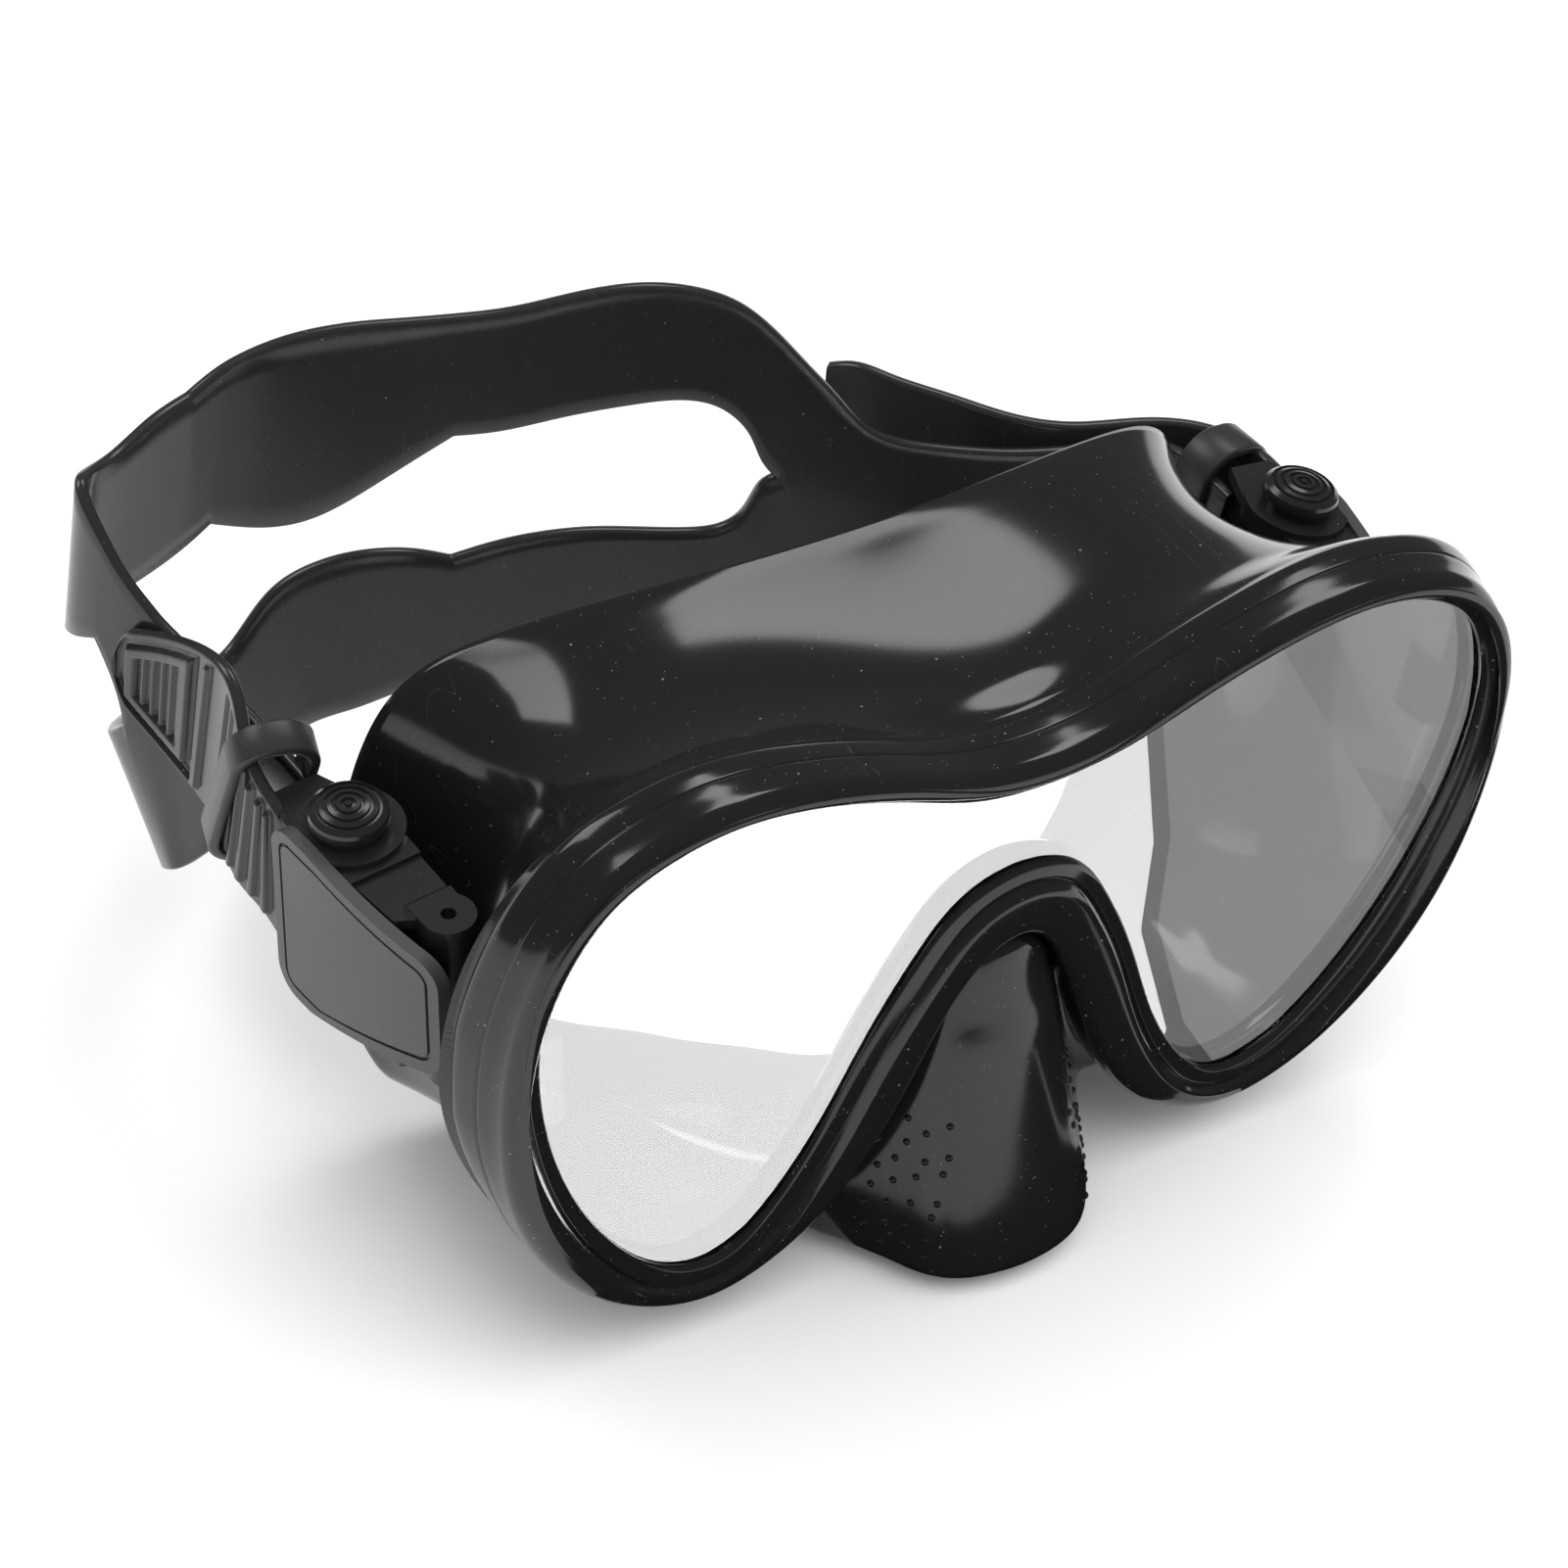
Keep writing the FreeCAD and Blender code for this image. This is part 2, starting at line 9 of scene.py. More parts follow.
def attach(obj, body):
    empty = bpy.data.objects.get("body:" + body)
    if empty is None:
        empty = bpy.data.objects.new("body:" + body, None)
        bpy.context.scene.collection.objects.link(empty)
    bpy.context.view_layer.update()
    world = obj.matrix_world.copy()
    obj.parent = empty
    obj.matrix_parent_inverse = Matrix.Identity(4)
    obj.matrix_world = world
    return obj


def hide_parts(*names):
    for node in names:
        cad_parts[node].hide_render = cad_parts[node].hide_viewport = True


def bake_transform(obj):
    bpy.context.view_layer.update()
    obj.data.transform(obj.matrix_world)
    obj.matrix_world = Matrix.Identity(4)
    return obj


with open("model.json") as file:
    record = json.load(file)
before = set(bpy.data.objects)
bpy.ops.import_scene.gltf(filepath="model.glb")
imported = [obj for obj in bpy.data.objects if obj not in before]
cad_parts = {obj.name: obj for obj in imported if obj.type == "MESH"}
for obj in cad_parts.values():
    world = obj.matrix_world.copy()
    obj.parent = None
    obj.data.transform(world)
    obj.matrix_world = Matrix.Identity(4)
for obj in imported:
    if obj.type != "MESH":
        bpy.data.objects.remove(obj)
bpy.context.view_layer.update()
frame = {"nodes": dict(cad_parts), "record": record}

MM = 0.001
SEAL_Y = 50.0      # the frame's origin lies this far behind the lens plane, in mm
NODES = frame["nodes"]


# ------------------------------------------------------------------ curves and meshes
def cubic(knots, points, at, period=None):
    """C2 cubic through points at the knots; closed when a period is given."""
    u = np.asarray(knots, float)
    p = np.asarray(points, float)
    at = np.asarray(at, float)
    count = len(u)
    if period:
        u = np.append(u, u[0] + period)
        p = np.vstack([p, p[:1]])
    h = np.diff(u)
    slope = np.diff(p, axis=0) / h[:, None]
    a = np.zeros((count, count))
    r = np.zeros((count, p.shape[1]))
    if period:
        for i in range(count):
            before, after = h[i - 1], h[i]
            a[i, (i - 1) % count] += before
            a[i, i] += 2 * (before + after)
            a[i, (i + 1) % count] += after
            r[i] = 6 * (slope[i] - slope[i - 1])
    else:
        a[0, 0] = a[-1, -1] = 1
        for i in range(1, count - 1):
            a[i, i - 1:i + 2] = h[i - 1], 2 * (h[i - 1] + h[i]), h[i]
            r[i] = 6 * (slope[i] - slope[i - 1])
    bend = np.linalg.solve(a, r)
    if period:
        bend = np.vstack([bend, bend[:1]])
        at = u[0] + (at - u[0]) % period
    k = np.clip(np.searchsorted(u, at, side="right") - 1, 0, len(h) - 1)
    d0, d1, hk = (at - u[k])[:, None], (u[k + 1] - at)[:, None], h[k][:, None]
    return (bend[k] * d1 ** 3 + bend[k + 1] * d0 ** 3) / (6 * hk) \
        + (p[k] / hk - bend[k] * hk / 6) * d1 + (p[k + 1] / hk - bend[k + 1] * hk / 6) * d0


def to_frame(points):
    """Lens-plane millimetres to the frame's metres."""
    p = np.asarray(points, float).reshape(-1, 3).copy()
    p[:, 1] -= SEAL_Y
    return p * MM


def mesh_object(name, points, faces):
    """A smooth-shaded mesh from lens-plane points in millimetres."""
    mesh = bpy.data.meshes.new(name)
    mesh.from_pydata([tuple(v) for v in to_frame(points)], [], [tuple(int(i) for i in f) for f in faces])
    mesh.validate()
    mesh.update()
    mesh.shade_smooth()
    obj = bpy.data.objects.new(name, mesh)
    bpy.context.scene.collection.objects.link(obj)
    return obj


def grid_faces(rows, cols, close_rows=False, close_cols=False, flip=False):
    """Quads of a grid of points given row by row."""
    faces = []
    for i in range(rows if close_rows else rows - 1):
        for j in range(cols if close_cols else cols - 1):
            a, b = i * cols + j, i * cols + (j + 1) % cols
            c, d = ((i + 1) % rows) * cols + (j + 1) % cols, ((i + 1) % rows) * cols + j
            faces.append((a, d, c, b) if flip else (a, b, c, d))
    return faces


def grid_normals(grid):
    """Unit normals of a grid of points that closes along its second axis."""
    du = np.roll(grid, -1, 1) - np.roll(grid, 1, 1)
    dv = np.gradient(grid, axis=0)
    n = np.cross(du, dv)
    return n / np.maximum(np.linalg.norm(n, axis=2, keepdims=True), 1e-9)


# ------------------------------------------------------------------ skirt, rim and nose pocket
# Half stations run from the middle of the brow, round the wearer's left lobe, to the top of the
# nose arch. Sizes in mm about the lens plane.
WINDOW = [(0, 28.7), (10, 29.9), (22, 34.3), (35, 38.4), (48, 40.3), (60, 38.8), (69, 33.5),
          (74.2, 24), (75.2, 12), (72.8, -1), (67.3, -15), (58, -29), (47, -37.2), (40, -37.2),
          (33.5, -31.5), (27, -20.5), (21.5, -7.5), (15, 5), (8, 13), (0, 15.2)]
RIM = [(0, 34.5), (10, 35.6), (22, 39.6), (35, 43.6), (49, 45.6), (60.5, 43.8), (70.2, 38.6),
       (77.2, 28), (80.4, 13.5), (79.7, -2), (75.4, -17.5), (66, -32), (52.5, -41.8), (42.5, -43.9),
       (32, -40.6), (22.7, -32.5), (15.5, -20), (10.5, -8), (5.5, 0.5), (0, 3.5)]
# How deep the rim's outer side goes at each station, 1 = whole depth: it is shallow at the nose.
SIDE = [1, 1, 1, 1, 1, 1, 1, 1, 1, 1, 1, 1, 1, 1, 0.95, 0.8, 0.55, 0.32, 0.14, 0.08]
# How far the rim's side has spread outward at its rear edge, in mm: only at the temples.
FLARE = [0, 0, 0, 0, 0.3, 0.8, 1.6, 2.8, 3.6, 3, 0.6, 0, 0, 0, 0, 0, 0, 0, 0, 0]
WALL = [
    [(0, 9.6, 33.4), (0, 14, 32.7), (0, 19, 32.4), (0, 24, 32.6), (0, 32.5, 34.3), (0, 38.5, 36.2),
     (0, 42.7, 37.8), (0, 45, 38.6)],
    [(10, 9.6, 34.4), (10.3, 14, 33.7), (10.5, 19, 33.2), (10.5, 24, 33.3), (10.5, 32.5, 34.8),
     (10.3, 39, 36.5), (10.2, 43.2, 37.8), (10.2, 45.8, 38.4)],
    [(22, 9.6, 38.1), (22, 14, 36.7), (22, 19, 35.5), (22, 24, 34.9), (21.5, 33, 35.3),
     (21, 40, 36.5), (21, 44.5, 37.4), (21, 47.3, 37.5)],
    [(34.8, 9.6, 41.9), (34.3, 14, 40), (34, 19, 38), (33.3, 24, 36.7), (32.3, 33, 36),
     (32, 41, 36.2), (32.3, 46, 36.6), (33, 49.5, 36.3)],
    [(48.2, 9.6, 43.8), (47, 14, 41.5), (46, 19, 39.2), (44.5, 24, 37.3), (43, 33, 35.6),
     (42.3, 42, 35), (43, 47.5, 34.9), (44.5, 52.2, 34.2)],
    [(60.4, 9.6, 42.7), (58.5, 14, 40.3), (56.3, 19, 37.8), (53.5, 24, 35.5), (51, 33, 33.4),
     (50.5, 42, 32.7), (52, 49, 32.4), (54.5, 55.2, 31.4)],
    [(70.6, 9.6, 37.9), (68, 14, 36), (64.3, 19, 33.5), (60.4, 24, 31.4), (57.2, 33, 29.5),
     (56.5, 42, 29), (58.3, 49.8, 29.2), (61.3, 57, 29.2)],
    [(79.3, 9.6, 28.4), (73.5, 14, 28.2), (67.3, 19, 27.3), (63, 24, 26), (60, 33, 24.2),
     (59.6, 42, 23.5), (61.6, 50, 23.7), (65.3, 57.8, 24.1)],
    [(83.6, 9.6, 13.8), (76, 14, 13.7), (68.3, 19, 13.2), (64.3, 24, 12.6), (62.2, 33, 12),
     (62.2, 42, 11.9), (64.2, 50.5, 12.3), (68.2, 58.7, 12.9)],
    [(82.5, 9.6, -2), (75, 14, -2), (69, 19, -2), (66, 24, -2.3), (64.2, 33, -3), (64.3, 42, -3.5),
     (66.3, 50.5, -4), (69.8, 58.5, -5)],
    [(75.9, 9.6, -17.5), (72, 14, -18), (69, 19, -18.5), (66.5, 24, -19), (64.5, 33, -20),
     (64.8, 42, -21), (66.3, 49.5, -21.5), (68.8, 56.5, -21.5)],
    [(65.5, 9.6, -31.8), (63.5, 14, -31.8), (62, 19, -31.8), (61, 24, -32), (60.3, 33, -32.8),
     (61, 41, -33.5), (62.5, 47.5, -34), (64.5, 53, -34)],
    [(51.5, 9.6, -41), (51.5, 14, -41), (51.3, 19, -41), (51.3, 24, -41), (52, 32, -41.3),
     (53.3, 39.5, -41.8), (55, 45.5, -42.3), (57.3, 50, -42.3)],
    [(41.2, 9.6, -42.8), (41.5, 14, -43), (41.8, 19, -43), (42.2, 24, -43), (43.2, 31.5, -43),
     (44.8, 38.5, -43.2), (46.5, 44.5, -43.6), (48.5, 48.5, -43.8)],
    [(31, 9.4, -40.3), (30.8, 12, -42.2), (31.2, 16, -42.8), (32, 21, -43.3), (33.5, 27, -43.4),
     (35.7, 34, -43.4), (38, 40.5, -43.5), (41, 46, -43.5)],
    [(22.7, 8.6, -35), (23.9, 8.6, -38.4), (25, 9.5, -41.8), (26.2, 12, -44.2), (27.7, 16, -45),
     (29.7, 22, -45), (32, 30, -44.3), (34.8, 37.5, -43.6)],
    [(15.4, 5.4, -22), (17, 3.4, -29), (18.7, 1.8, -36.5), (20.1, 1.6, -43), (21, 4, -45.8),
     (22.2, 10, -46.2), (24.2, 20, -45.6), (26.6, 30, -44.8)],
    [(10.5, 2.9, -10.5), (12.2, -0.1, -20), (13.8, -3.9, -32), (15.1, -6.7, -42.5), (15, -3.6, -46.6),
     (15.8, 5, -47), (17.2, 16, -46.4), (18.6, 27.5, -45.4)],
    [(5.6, 0.6, -2), (6.8, -3.4, -14), (8.2, -8.4, -29.5), (9.3, -12.4, -42.6), (9.1, -9.4, -47),
     (9.3, 1, -47.6), (9.8, 14, -47), (10.3, 26.6, -45.7)],
    [(0, -0.3, -0.3), (0, -4.7, -13), (0, -9.9, -29.5), (0, -14.1, -43), (0, -10.6, -47.3),
     (0, 0, -47.8), (0, 13.5, -47.2), (0, 26.2, -45.8)]]
SEAL = [(0, 43.2, 27), (9, 44, 27), (19, 45.4, 26.3), (29, 47.4, 25), (38, 49.4, 23), (45, 51.4, 20),
        (50, 52.9, 16), (53.5, 54, 11.5), (55.5, 54.8, 6), (56, 55, -2), (54, 54.3, -12),
        (50.5, 52, -21), (45, 48.5, -29), (38.5, 45, -32), (31.5, 41, -33), (25, 36, -33.5),
        (18.5, 30.6, -33), (12, 27, -34), (6, 25.2, -34.5), (0, 24.7, -34.5)]
AROUND = 528       # points round the mask
WALL_ROWS = 50
WALL_THICK = 2.3
GLASS_FRONT, GLASS_BACK = 0.47, 4.52
RIM_RADIUS = 2.9   # of the rim's rounded front edge, across the face
RIM_ROLL = 2.5     # of the same edge, front to back
# The rim's front lip, from the window outward: distance from the window and depth.
FRONT_LIP = [(0.03, 0.2), (0.12, -0.12), (0.4, -0.42), (0.9, -0.62), (1.5, -0.82), (2.0, -0.98),
             (2.3, -1.06), (2.42, -0.86), (2.55, -0.66), (2.68, -0.9), (2.8, -1.2), (3.0, -1.5),
             (3.25, -1.72)]
# The rim's side, from the front back: distance in from the rim's edge and depth, with two grooves.
RIM_SIDE = [(0, 1.0), (0, 2.4), (0.0, 3.5), (0.02, 3.72), (0.16, 3.86), (0.16, 3.96), (0.0, 4.1),
            (0.0, 4.4), (0.0, 5.6), (0.05, 6.6), (0.2, 7.3), (0.5, 7.9), (0.95, 8.35), (1.4, 8.75)]


def whole(half, size):
    """Control points of the closed loop from its right half."""
    right = np.asarray(half, float).reshape(-1, size)
    left = right[-2:0:-1].copy()
    left[:, 0] *= -1
    return np.vstack([right, left])


def station_lengths():
    w, r = whole(WINDOW, 2), whole(RIM, 2)
    step_w = np.linalg.norm(np.roll(w, -1, 0) - w, axis=1)
    step_r = np.linalg.norm(np.roll(r, -1, 0) - r, axis=1)
    steps = (step_w + step_r) / 2
    return np.append(0, np.cumsum(steps))


LENGTHS = station_lengths()
KNOTS, PERIOD = LENGTHS[:-1], LENGTHS[-1]
TURN = np.linspace(0, PERIOD, AROUND, endpoint=False)


def loop(half, size=3):
    return cubic(KNOTS, whole(half, size), TURN, PERIOD)


def outward(loop2):
    """Unit normals of a closed outline, away from its inside."""
    t = np.roll(loop2, -1, 0) - np.roll(loop2, 1, 0)
    n = np.stack([-t[:, 1], t[:, 0]], 1)
    return n / np.linalg.norm(n, axis=1, keepdims=True)


def blurred(grid, sigma, wrap):
    """Gaussian average of a grid of points along its second axis."""
    reach = int(3 * sigma)
    weights = np.exp(-0.5 * (np.arange(-reach, reach + 1) / sigma) ** 2)
    weights /= weights.sum()
    mode = "wrap" if wrap else "edge"
    padded = np.pad(grid, ((0, 0), (reach, reach), (0, 0)), mode=mode)
    return sum(w * padded[:, k:k + grid.shape[1]] for k, w in enumerate(weights))


def smoothed(wall, around, deep):
    """Evens out the wall, more on the brow than at the nose, and not at all where it meets the rim."""
    even = blurred(wall, around, True)
    deeper = blurred(even.transpose(1, 0, 2), deep, False).transpose(1, 0, 2)
    inland = np.clip(np.arange(len(wall))[::-1] / 10.0, 0, 1)[:, None, None]
    even = even * (1 - inland) + deeper * inland
    rows = np.clip(np.arange(len(wall)) / 10.0, 0, 1)[:, None, None]
    high = np.clip((wall[..., 2:] + 12) / 20, 0.0, 1)
    share = rows * rows * (3 - 2 * rows) * high
    return wall * (1 - share) + even * share


def skirt_grid():
    window, rim = loop(WINDOW, 2), loop(RIM, 2)
    window_n, rim_n = outward(window), outward(rim)
    share, flare = [np.interp(TURN, np.append(KNOTS, PERIOD), half + half[-2:0:-1] + half[:1])
                    for half in (SIDE, FLARE)]

    def at(flat, y):
        return np.column_stack([flat[:, 0], np.broadcast_to(y, len(flat)), flat[:, 1]])

    def from_window(d, y):
        return at(window + window_n * d, y)

    def from_rim(d, y):
        return at(rim - rim_n * d, y)

    rings = [from_window(0, GLASS_BACK + 0.03), from_window(1.4, GLASS_BACK + 0.01),
             from_window(2.7, GLASS_BACK), from_window(2.7, GLASS_FRONT),
             from_window(1.4, GLASS_FRONT - 0.01), from_window(0, GLASS_FRONT - 0.02)]
    rings += [from_window(d, y) for d, y in FRONT_LIP]
    start = window + window_n * 3.6
    end = rim - rim_n * RIM_RADIUS
    for f in np.linspace(0, 1, 7):
        y = -1.9 - 0.62 * math.sin(math.pi * (0.18 + 0.52 * f))
        rings.append(at(start * (1 - f) + end * f, y))
    front = -1.9 - 0.62 * math.sin(math.pi * 0.7)
    for k in range(1, 9):
        a = math.pi / 2 * k / 8
        rings.append(from_rim(RIM_RADIUS * (1 - math.sin(a)), front + RIM_ROLL * (1 - math.cos(a))))
    for d, y in RIM_SIDE:
        if y <= 1.0:
            depth = np.full(AROUND, y)
        else:
            depth = 1.0 + (y - 1.0) * share
        spread = flare * max(0.0, (y - 1) / 7.75)
        rings.append(from_rim((d * (0.3 + 0.7 * share) - spread)[:, None], depth))
    wall_row = len(rings)
    depths = len(WALL[0])
    columns = np.stack([loop([w[k] for w in WALL]) for k in range(depths)]).reshape(depths, -1)
    wall = cubic(np.arange(depths), columns, np.linspace(0, depths - 1, WALL_ROWS))
    wall = smoothed(wall.reshape(WALL_ROWS, -1, 3), 14.0, 5.0)
    seal = loop(SEAL)
    edge = wall[-1]
    normals = grid_normals(np.vstack([wall, seal[None]]))[:-1]
    centre = np.array([0, 25, 0])
    if np.mean(np.sum(normals * (wall - centre), axis=2)) < 0:
        normals = -normals
    inner = wall - normals * WALL_THICK
    flange = []
    for f in np.linspace(0, 1, 12)[1:]:
        bulge = 1.3 * math.sin(math.pi * f) + 0.8 * math.sin(math.pi * min(1, 3 * f)) * (1 - f)
        p = edge * (1 - f) + seal * f
        p[:, 1] += bulge
        flange.append(p)
    back = []
    for f in np.linspace(1, 0.12, 9):
        bulge = 1.3 * math.sin(math.pi * f) - 0.9 - 1.6 * (1 - f)
        p = edge * (1 - f) + seal * f
        p[:, 1] += bulge
        if f < 0.4:
            p = p * (f / 0.4) + (inner[-7] * 0.5 + p * 0.5) * (1 - f / 0.4)
        back.append(p)
    inside = list(inner[-9::-1])
    first = inside[-1]
    rear = [first * 0.5 + np.column_stack([first[:, 0], np.minimum(first[:, 1], 8.6), first[:, 2]]) * 0.5]
    lip = [from_window(1.6, 8.2), from_window(0.5, 7.4), from_window(0.08, 6.4), from_window(0, 5.4)]
    rings = rings + list(wall) + flange + back + inside + rear + lip
    return np.array(rings), wall_row


def make_skirt(grid):
    faces = grid_faces(len(grid), AROUND, close_rows=True, close_cols=True)
    return mesh_object("skirt_silicone", grid.reshape(-1, 3), faces)


SKIRT_GRID, WALL_ROW = skirt_grid()
skirt = make_skirt(SKIRT_GRID)
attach(skirt, "mask")
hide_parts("skirt")


def nose_dots(side):
    """Small raised dots on the flank of the nose pocket, for grip when it is pinched."""
    wall = SKIRT_GRID[WALL_ROW:WALL_ROW + WALL_ROWS]
    points, faces = [], []
    pitch, top, bottom, front = 3.1, -24.0, -43.0, -6.0
    for row in range(8):
        for step in range(4):
            z = top - pitch * row - (pitch / 2 if step % 2 else 0)
            if z < bottom:
                continue
            y = front + (z - top) * 0.18 + pitch * 0.87 * step
            place = nearest(wall, side, y, z)
            if place is None:
                continue
            centre, normal = place
            add_dot(points, faces, centre, normal, 0.55, 0.35)
    obj = mesh_object("nose_dots_" + ("left" if side > 0 else "right"), points, faces)
    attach(obj, "mask")
    return obj


def nearest(grid, side, y, z):
    """The wall's point and outward normal at a depth and height, on one side of the nose."""
    near = np.abs(grid[..., 0] * side - 11) < 9
    gap = (grid[..., 1] - y) ** 2 + (grid[..., 2] - z) ** 2 + np.where(near, 0, 1e6)
    i, j = np.unravel_index(np.argmin(gap), gap.shape)
    if gap[i, j] > 2.0 or not 0 < i < len(grid) - 1:
        return None
    count = grid.shape[1]
    n = np.cross(grid[i, (j + 1) % count] - grid[i, j - 1], grid[i + 1, j] - grid[i - 1, j])
    n /= np.linalg.norm(n)
    if n[0] * side < 0:
        n = -n
    return grid[i, j], n


def add_dot(points, faces, centre, normal, radius, height):
    """A low dome standing on a surface."""
    across_dot = np.cross(normal, (0, 0, 1.0))
    across_dot /= np.linalg.norm(across_dot)
    up_dot = np.cross(normal, across_dot)
    start, count = len(points), 12
    rings = [(1.0, -0.15), (0.97, 0.1), (0.75, 0.6), (0.4, 0.9)]
    for share, lift in rings:
        for k in range(count):
            a = 2 * math.pi * k / count
            offset = across_dot * math.cos(a) + up_dot * math.sin(a)
            points.append(centre + offset * radius * share + normal * height * lift)
    points.append(centre + normal * height)
    for ring in range(len(rings) - 1):
        for k in range(count):
            a, b = start + ring * count + k, start + ring * count + (k + 1) % count
            faces.append((a, b, b + count, a + count))
    last = start + (len(rings) - 1) * count
    for k in range(count):
        faces.append((last + k, last + (k + 1) % count, len(points) - 1))


dots = [nose_dots(1), nose_dots(-1)]


# ------------------------------------------------------------------ head strap
HALF_THICK = 0.9
# Stations from the right buckle round the back of the head to the left one: top and bottom edge of
# the upper band, then of the lower band. Where there are three points the band is undivided.
STRAP = [
    ((-74.2, 54, 12.4), (-72.8, 54, 2.5), (-71.4, 54, -7.4)),
    ((-74.2, 62, 12.4), (-72.8, 62, 2.5), (-71.4, 62, -7.4)),
    ((-74.2, 68, 12.4), (-72.8, 68, 2.5), (-71.4, 68, -7.4)),
    ((-74.5, 74, 12.8), (-73.2, 74, 2.2), (-72.2, 74, -8.5)),
    ((-75.6, 80, 13.8), (-74.8, 80.5, 1.2), (-74.2, 79, -15)),
    ((-77, 86, 15.5), (-76.9, 87, -0.2), (-75.2, 82.5, -20)),
    ((-78.3, 90, 17), (-78.6, 91, -1.6), (-75.9, 84.6, -22.3)),
    ((-79.2, 92.5, 18.5), (-79.75, 93.85, -2.9), (-75.6, 86.5, -24)),
    ((-80.8, 96.2, 21.6), (-80.6, 95.8, 3.2), (-79.6, 97, -6.5), (-74.3, 89.5, -26.5)),
    ((-82.1, 99.8, 25.5), (-82, 99.5, 9.4), (-77.5, 100.4, -9), (-71, 94, -29.5)),
    ((-82.8, 103.4, 28.9), (-82.6, 103.5, 7), (-73.5, 104, -11.5), (-66.5, 99, -32.5)),
    ((-82, 106.6, 30.4), (-81.5, 107, 5.2), (-68, 107.5, -14), (-61.5, 103.5, -34.8)),
    ((-79, 109.2, 29.4), (-78.3, 109.7, 4), (-61.5, 111, -16.2), (-55.5, 107.8, -36.4)),
    ((-73.4, 111.8, 28.6), (-72.5, 112.2, 3.6), (-55, 114, -17.9), (-49.5, 111.2, -37)),
    ((-66.5, 114.3, 30), (-65, 114.8, 3.4), (-49.5, 116, -17.6), (-44, 113.6, -36.7)),
    ((-59.6, 116.4, 30.4), (-58.5, 116.7, 4.3), (-45, 117, -13.2), (-39, 115, -35.8)),
    ((-54, 117.4, 32.4), (-54.1, 117.5, 6.3), (-40.5, 117, -9.2), (-34, 115.2, -34.6)),
    ((-48, 117.8, 33.5), (-47.5, 117.8, 3.2), (-35, 115.6, -6.6), (-29, 113.4, -32.8)),
    ((-42, 117, 34.5), (-41.5, 117, 2.1), (-29.5, 113.6, -5.4), (-24, 111.8, -30.8)),
    ((-35, 115.3, 35), (-35, 115.3, 4), (-23.5, 111.5, -5.7), (-18.5, 109.8, -28.5)),
    ((-28, 113, 35.1), (-27, 112.7, 9.8), (-17.8, 109.7, -7.5), (-13, 108, -26)),
    ((-20.5, 110.4, 35.3), (-19.8, 110.2, 15.4), (-11.5, 107.4, -5.4), (-7, 105.8, -22.5)),
    ((-13, 107.8, 36), (-13, 107.8, 15.8), (-5, 105, -4.2), (-1.5, 103.6, -19.5)),
    ((-5, 105, 37.8), (-5, 105, 17.5), (1.5, 102.5, -3.9), (4, 101.6, -17)),
    ((3, 102, 38.8), (3, 102, 18.9), (8, 100.1, -4.5), (10, 99.3, -15)),
    ((10, 99.3, 37.8), (9.5, 99.5, 19.5), (13.5, 97.8, -4.8), (15, 97, -13.7)),
    ((16, 96.6, 35.2), (15, 97, 18.3), (17.6, 95.8, -4.0), (19.5, 94.8, -13)),
    ((21, 94, 30.6), (19.3, 94.9, 14), (20.3, 94.4, -1), (24, 92.3, -12.3)),
    ((25.5, 91.4, 25), (21.6, 93.7, 9), (21.8, 93.6, 3.5), (28.5, 89.8, -11.7)),
    ((30, 88.9, 19.3), (24, 92.2, 5.8), (33, 87.2, -11)),
    ((35.5, 85.8, 13.6), (34.5, 86.3, 3), (39, 84, -10)),
    ((44.5, 81.3, 11.4), (44.5, 81.3, 1.5), (46, 80.5, -9)),
    ((54, 77, 10.6), (54, 77, 1.4), (54.5, 76.6, -8.2)),
    ((63, 73.6, 10.8), (62.5, 73.7, 1.6), (62, 73.8, -8)),
    ((69.8, 70.3, 11.6), (68.6, 70.6, 2), (67.5, 70.8, -7.6)),
    ((73.4, 66.5, 12.2), (72.2, 66.5, 2.4), (70.9, 66.5, -7.4)),
    ((74.2, 60, 12.4), (72.8, 60, 2.5), (71.4, 60, -7.4)),
    ((74.2, 54, 12.4), (72.8, 54, 2.5), (71.4, 54, -7.4))]
SPLIT = (7, 29)                       # the bands part at the first station and join at the second
CUSPS = ((15,), (7, 9, 16, 21, 29), (7, 20, 29), ())   # scallop points of the four edges
ROWS = 9


def cusped(points, cusps, at):
    """A cubic through the stations, broken at the cusps."""
    breaks = [0, *cusps, len(points) - 1]
    out = np.zeros((len(at), 3))
    for lo, hi in zip(breaks, breaks[1:]):
        inside = (at >= lo) & (at <= hi)
        out[inside] = cubic(np.arange(lo, hi + 1.0), points[lo:hi + 1], at[inside])
    return out


def strip_points(start, end, bulge):
    """Three rows that round an edge between an outer and an inner border."""
    middle = (start + end) / 2
    rows = []
    for angle in (45, 90, 135):
        a = math.radians(angle)
        rows.append(middle + (start - middle) * math.cos(a) + bulge * math.sin(a))
    return rows


def across(edge, inner):
    """Unit vectors from the inner row to the edge."""
    d = edge - inner
    return d / np.maximum(np.linalg.norm(d, axis=1, keepdims=True), 1e-9)


